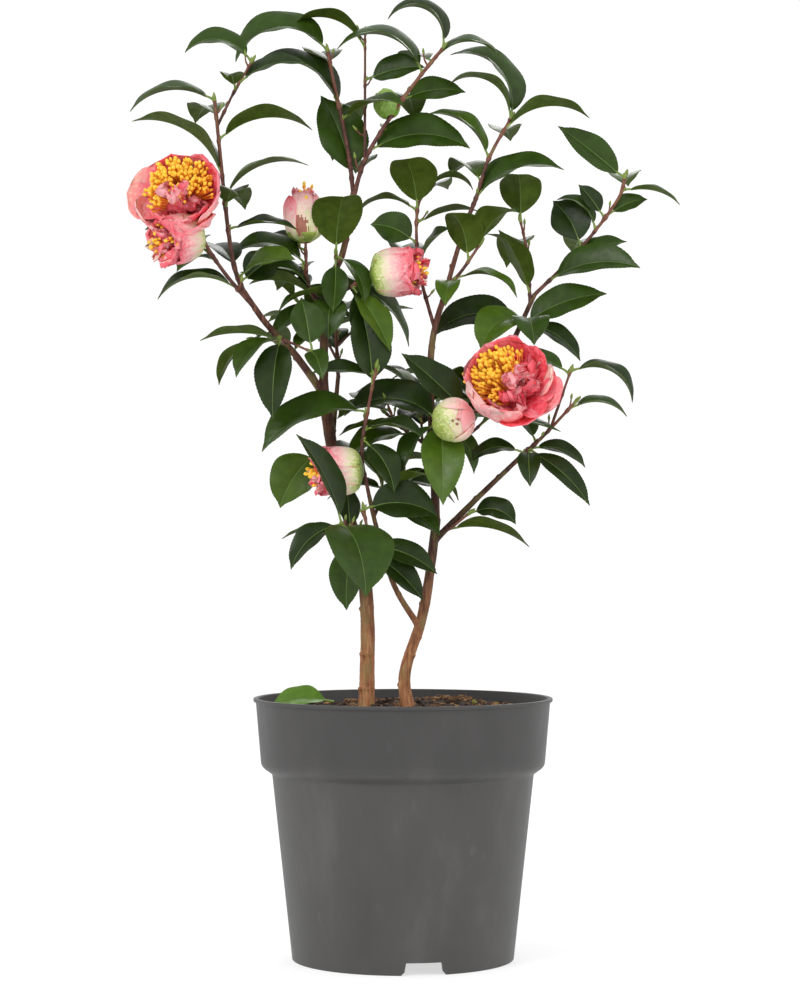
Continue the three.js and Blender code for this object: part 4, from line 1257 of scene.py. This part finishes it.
def add_chip(skin, x, y, size, flat, slot, draw):
    """A crumb of bark or peat: a rough, flattened lump, half sunk."""
    across, around = 4, 6
    tips = np.linspace(0.12, np.pi - 0.12, across)
    turns = all_round(around)
    x_and_y = [np.outer(np.sin(tips), np.cos(turns)), np.outer(np.sin(tips), np.sin(turns))]
    ball = np.stack([*x_and_y, np.outer(np.cos(tips), np.ones(around)) * flat], axis=-1)
    rough = np.array([0.55 + 0.9 * draw() for _ in range(across * around)]).reshape(across, around, 1)
    turn, lean = 2 * np.pi * draw(), 0.9 * (draw() - 0.5)
    ball = ball * rough * [size * (1 + draw()), size, size]
    ball = ball @ turning(0, lean).T @ turning(2, turn).T
    ball = ball + [x, y, soil_height(x, y) + 0.3 * size * flat]
    skin.body(ball[::-1], slot)


def make_litter(materials):
    """Crumbs and fibres strewn over the soil."""
    skin, draw = Skin(), seeded(SEEDS.litter)
    reach = POT.collar_foot - 4
    for k in range(LITTER.crumbs):
        away, turn = reach * math.sqrt(draw()), 2 * np.pi * draw()
        x, y = away * math.cos(turn), away * math.sin(turn)
        pick = draw()
        slot = 0 if pick < 0.5 else 1 if pick < 0.78 else 2 if pick < 0.97 else 3
        size = 0.7 + 1.9 * draw() ** 2
        add_chip(skin, x, y, size, 0.35 + 0.5 * draw(), slot, draw)
    for k in range(LITTER.fibres):
        away, turn = reach * math.sqrt(draw()), 2 * np.pi * draw()
        if k % 3 == 0:
            away, turn = 16 * draw() + 44, math.radians(20 + 50 * draw())
        x, y = away * math.cos(turn), away * math.sin(turn)
        start = np.array([x, y, soil_height(x, y) + 0.8])
        heading, rise = 360 * draw(), 50 * (draw() - 0.35)
        stretch = 1.5 + 2.5 * draw()
        fibre = walk(start, [[stretch, heading, rise], [stretch, heading + 60 * (draw() - 0.5), rise - 40]])
        skin.tube(fibre.at(np.linspace(0, 2, 6)), 0.22 + 0.2 * draw(), 4, 1 if k % 2 else 2)
    litter = skin.made("soil_litter", materials)
    return litter


# ---------------------------------------------------------------- finishes
def leaf_finishes():
    gloss = {"Specular_IOR_Level": 0.24}
    tones = {
        "dark": [(27, 42, 9), (37, 54, 13)],
        "mid": [(40, 60, 11), (50, 74, 16)],
        "fresh": [(58, 82, 15), (72, 98, 22)],
        "light": [(78, 112, 36), (98, 132, 50)],
    }
    finishes = [
        mottled(f"leaf_{name}", pair, 9, (0.28, 0.44), 0.8, 0.05, **gloss) for name, pair in tones.items()
    ]
    return finishes + [
        # The underside is the leaf's own olive, darkened further as painted shade.
        mottled("leaf_under", [(56, 72, 17), (72, 90, 26)], 7, (0.5, 0.65), 0.7, 0.06,
                Specular_IOR_Level=0.1),
        mottled("leaf_rib", [(74, 102, 34), (92, 118, 48)], 6, (0.35, 0.5), 0.6, 0.04),
        mottled("leaf_stalk", [(98, 124, 42), (124, 144, 60)], 5, (0.35, 0.5), 0.7, 0.05),
    ]


def twig_finishes():
    return [
        mottled("twig_old", [(60, 32, 26), (88, 48, 38), (114, 72, 58)], 5, (0.55, 0.75), 0.9, 0.12),
        mottled("twig_young", [(92, 44, 34), (114, 64, 46), (122, 94, 56)], 6, (0.5, 0.65), 0.9, 0.08),
        mottled("twig_bud", [(98, 122, 42), (132, 148, 62)], 3, (0.45, 0.6), 0.6, 0.06),
    ]


def petal_finishes():
    soft = {"Subsurface_Weight": 0.3, "Subsurface_Radius": (1, 0.4, 0.3), "Subsurface_Scale": 0.004}
    return [
        mottled(f"petal_{name}", tones, 5, (0.42, 0.6), 0.8, 0.08, (1, 1, 2), **soft)
        for name, tones in TINTS.items()
    ]


def stamen_finishes():
    return [
        mottled("stamen_filament", [(255, 150, 44), (255, 176, 72)], 4, (0.5, 0.6), 0.6, 0.04),
        mottled("stamen_anther", [(255, 188, 36), (255, 218, 80)], 2, (0.55, 0.75), 0.5, 0.08),
    ]


def soil_finishes():
    return [
        mottled("soil_peat", [(26, 18, 14), (52, 36, 26), (72, 50, 36)], 4, (0.85, 1), 1.2, 0.5),
        mottled("soil_bark", [(70, 44, 28), (112, 74, 46)], 3, (0.8, 0.95), 0.9, 0.3),
        mottled("soil_straw", [(128, 92, 58), (172, 132, 88)], 3, (0.75, 0.9), 0.8, 0.2),
        mottled("soil_moss", [(120, 120, 48), (168, 160, 80)], 3, (0.75, 0.9), 0.8, 0.2),
    ]


# The bark's dark, middle and pale tones, at the foot of a limb, above it and in the crown; the run above the
# foot is darker than the crown, with painted shade under the leaves.
BARK_TONES = [
    [(112, 68, 40), (164, 108, 70), (192, 146, 104)],
    [(44, 27, 20), (80, 51, 38), (116, 80, 60)],
    [(66, 37, 29), (102, 62, 50), (132, 90, 74)],
]


def bark_finish():
    """Tan at the foot, darker above it with painted shade under the leaves, greenish in patches, and redder
    brown towards the crown.
    """
    finish = Finish("bark_limb", Specular_IOR_Level=0.35)
    height = finish.node("SeparateXYZ", ("Vector", finish.place)).outputs["Z"]
    climb = finish.spread(height, 0, 1, 0.23, 0.31)
    young = finish.spread(height, 0, 1, 0.42, 0.56)
    streaks = finish.noise(2.2, (1, 1, 7), 5, 0.65)
    # The middle tones, darker than the crown's, are painted shade under the leaves.
    low, high, top = (finish.ramp(streaks, zip((0.32, 0.5, 0.68), tones)) for tones in BARK_TONES)
    lichen = finish.spread(finish.noise(9, (1, 1, 2)), 0, 0.5, 0.52, 0.66)
    tinted = finish.mix(lichen, finish.mix(climb, low, finish.mix(young, high, top)), (122, 116, 68))
    return finish.use(
        colour=tinted,
        gloss=finish.spread(streaks, 0.6, 0.85),
        relief=finish.noise(0.8, (1, 1, 5), 6, 0.7),
        depth=0.35,
    )


def plastic_finish():
    """Grey moulded plastic, with dusty smears, water marks and a few scuffs, and painted shade darkening it
    from the collar up.
    """
    finish = Finish("pot_grey", Specular_IOR_Level=0.45)
    height = finish.node("SeparateXYZ", ("Vector", finish.place)).outputs["Z"]
    dust = finish.noise(46, (1, 1, 2.2), 6, 0.6)
    base = finish.ramp(dust, [(0.3, (60, 59, 58)), (0.55, (68, 67, 66)), (0.75, (82, 80, 79))])
    marks = finish.spread(finish.noise(22, (0.8, 0.8, 1.8), 7, 0.72), 0, 0.4, 0.6, 0.72)
    scuffs = finish.spread(finish.noise(2.6, (1, 1, 1), 2, 0.5), 0, 0.4, 0.76, 0.8)
    worn = finish.mix(scuffs, finish.mix(marks, base, (98, 96, 93)), (120, 117, 112))
    # Painted shade: the pot is darker from its collar up, inside and out.
    colour = finish.mix(finish.spread(height, 0, 0.5, 0.146, 0.156), worn, (46, 45, 45))
    return finish.use(
        colour=colour,
        gloss=finish.spread(dust, 0.42, 0.6),
        relief=finish.noise(0.7, (1, 1, 1), 3, 0.6),
        depth=0.03,
    )


# ---------------------------------------------------------------- the part
def make_limbs(lines):
    bark = bark_finish()
    for number, (name, line) in enumerate(lines.items()):
        skin = Skin()
        add_limb(skin, name, line, seeded(SEEDS.limbs + number))
        piece = skin.made(f"bark_{name}", [bark])
        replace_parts(piece, name)


def make_masses(lines):
    finishes = {
        "leaves": leaf_finishes(), "twigs": twig_finishes(), "petals": petal_finishes(),
        "stamens": stamen_finishes(),
    }
    tones = ["dark", "dark", "mid", "mid", "mid", "fresh"]
    for owner, mass in MASSES.items():
        node = f"foliage_{owner}"
        corners, draw = corners_of(node), seeded(SEEDS.masses + mass.seed)
        skins = {kind: Skin() for kind in finishes}
        for number, (line, radius, leaves) in enumerate(shoots_of(mass, lines)):
            leaves = [leaf for leaf in (settled(leaf, corners) for leaf in leaves) if leaf]
            ends = line.stretches
            blossomed = number == 0 and any(place == ends for _, place, _, _ in mass.blossoms)
            add_twig(skins["twigs"], line, radius, leaves, blossomed, draw)
            for leaf in leaves:
                way = line.way(min(leaf.at, ends - 0.02))
                tone = tones[int(draw() * len(tones))]
                add_leaf(skins["leaves"], leaf, way, tone, draw)
            for kind, place, heading, rise in mass.blossoms if number == 0 else []:
                BLOOMS[kind](Bloom(owner, skins, line.at(place), heading, rise, draw))
        for kind, skin in skins.items():
            if skin.size:
                piece = skin.made(f"{kind}_{owner}", finishes[kind])
                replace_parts(piece, node)


def make_fallen_leaf():
    """A shed leaf that lies on the soil against the rim."""
    leaf = Leaf(
        at=0, root=[-53, -6, 197], heading=184, rise=12, length=42, lean=32, droop=34, width=25,
    )
    skin = Skin()
    add_leaf(skin, leaf, direction(leaf.heading, leaf.rise), "light", seeded(SEEDS.fallen))
    return skin.made("fallen_leaf", leaf_finishes())


# ---------------------------------------------------------------- the studio
CAMERA = Sizes(side=-2.3, away=2100, height=329, pitch=0.663, lens=98.67)
STAGE = Sizes(radius=5200, bend=1800, wall=5200, sides=96)


def make_stage():
    """A pale floor that curves up into a wall all round."""
    bend = [
        (STAGE.radius - STAGE.bend * (1 - math.sin(a)), STAGE.bend * (1 - math.cos(a)))
        for a in np.linspace(0, np.pi / 2, 14)
    ]
    profile = [(1, 0), *bend, (STAGE.radius, STAGE.wall)]
    turns = all_round(STAGE.sides)
    rings = np.array([[(r * math.cos(a), r * math.sin(a), z) for a in turns] for r, z in profile])
    skin = Skin()
    skin.grid(rings, 0, closed=True)
    skin.cap(rings[0], 0, flip=True)
    paper = mottled("studio_paper", [(176, 176, 176), (180, 180, 180)], 900, (0.9, 0.95), 2, 0.01,
                    Specular_IOR_Level=0.1, Emission_Color=(1, 1, 1, 1), Emission_Strength=0.62)
    stage = skin.made("stage", [paper])


def add_light(name, place, aim, size, power):
    data = bpy.data.lights.new(name, "AREA")
    data.shape, data.size, data.energy = "DISK", size * MM, power
    light = bpy.data.objects.new(name, data)
    light.location = Vector(place) * MM
    light.rotation_euler = (Vector(aim) - Vector(place)).to_track_quat("-Z", "Y").to_euler()
    bpy.context.scene.collection.objects.link(light)


def make_studio():
    scene = bpy.context.scene
    make_stage()
    world = bpy.data.worlds.new("studio")
    world.use_nodes = True
    world.node_tree.nodes["Background"].inputs["Color"].default_value = (1, 1, 1, 1)
    world.node_tree.nodes["Background"].inputs["Strength"].default_value = 0.7
    scene.world = world
    scene.view_settings.view_transform = "Standard"
    add_light("key", (-1300, -1700, 1900), (0, 0, 380), 1000, 22)
    add_light("fill", (1700, -1300, 1000), (0, 0, 330), 1300, 6)
    add_light("rim", (300, 1900, 1900), (0, 0, 450), 1200, 10)
    data = bpy.data.cameras.new("front")
    data.sensor_width, data.lens = 36, CAMERA.lens
    camera = bpy.data.objects.new("front", data)
    camera.location = Vector((CAMERA.side, -CAMERA.away, CAMERA.height)) * MM
    camera.rotation_euler = (math.radians(90 + CAMERA.pitch), 0, 0)
    scene.collection.objects.link(camera)
    scene.camera = camera


make_studio()
plant = grow_limbs()
make_limbs(plant)
make_masses(plant)
make_pot(plastic_finish())
soil_kinds = soil_finishes()
make_soil(soil_kinds[0])
make_litter(soil_kinds)
make_fallen_leaf()
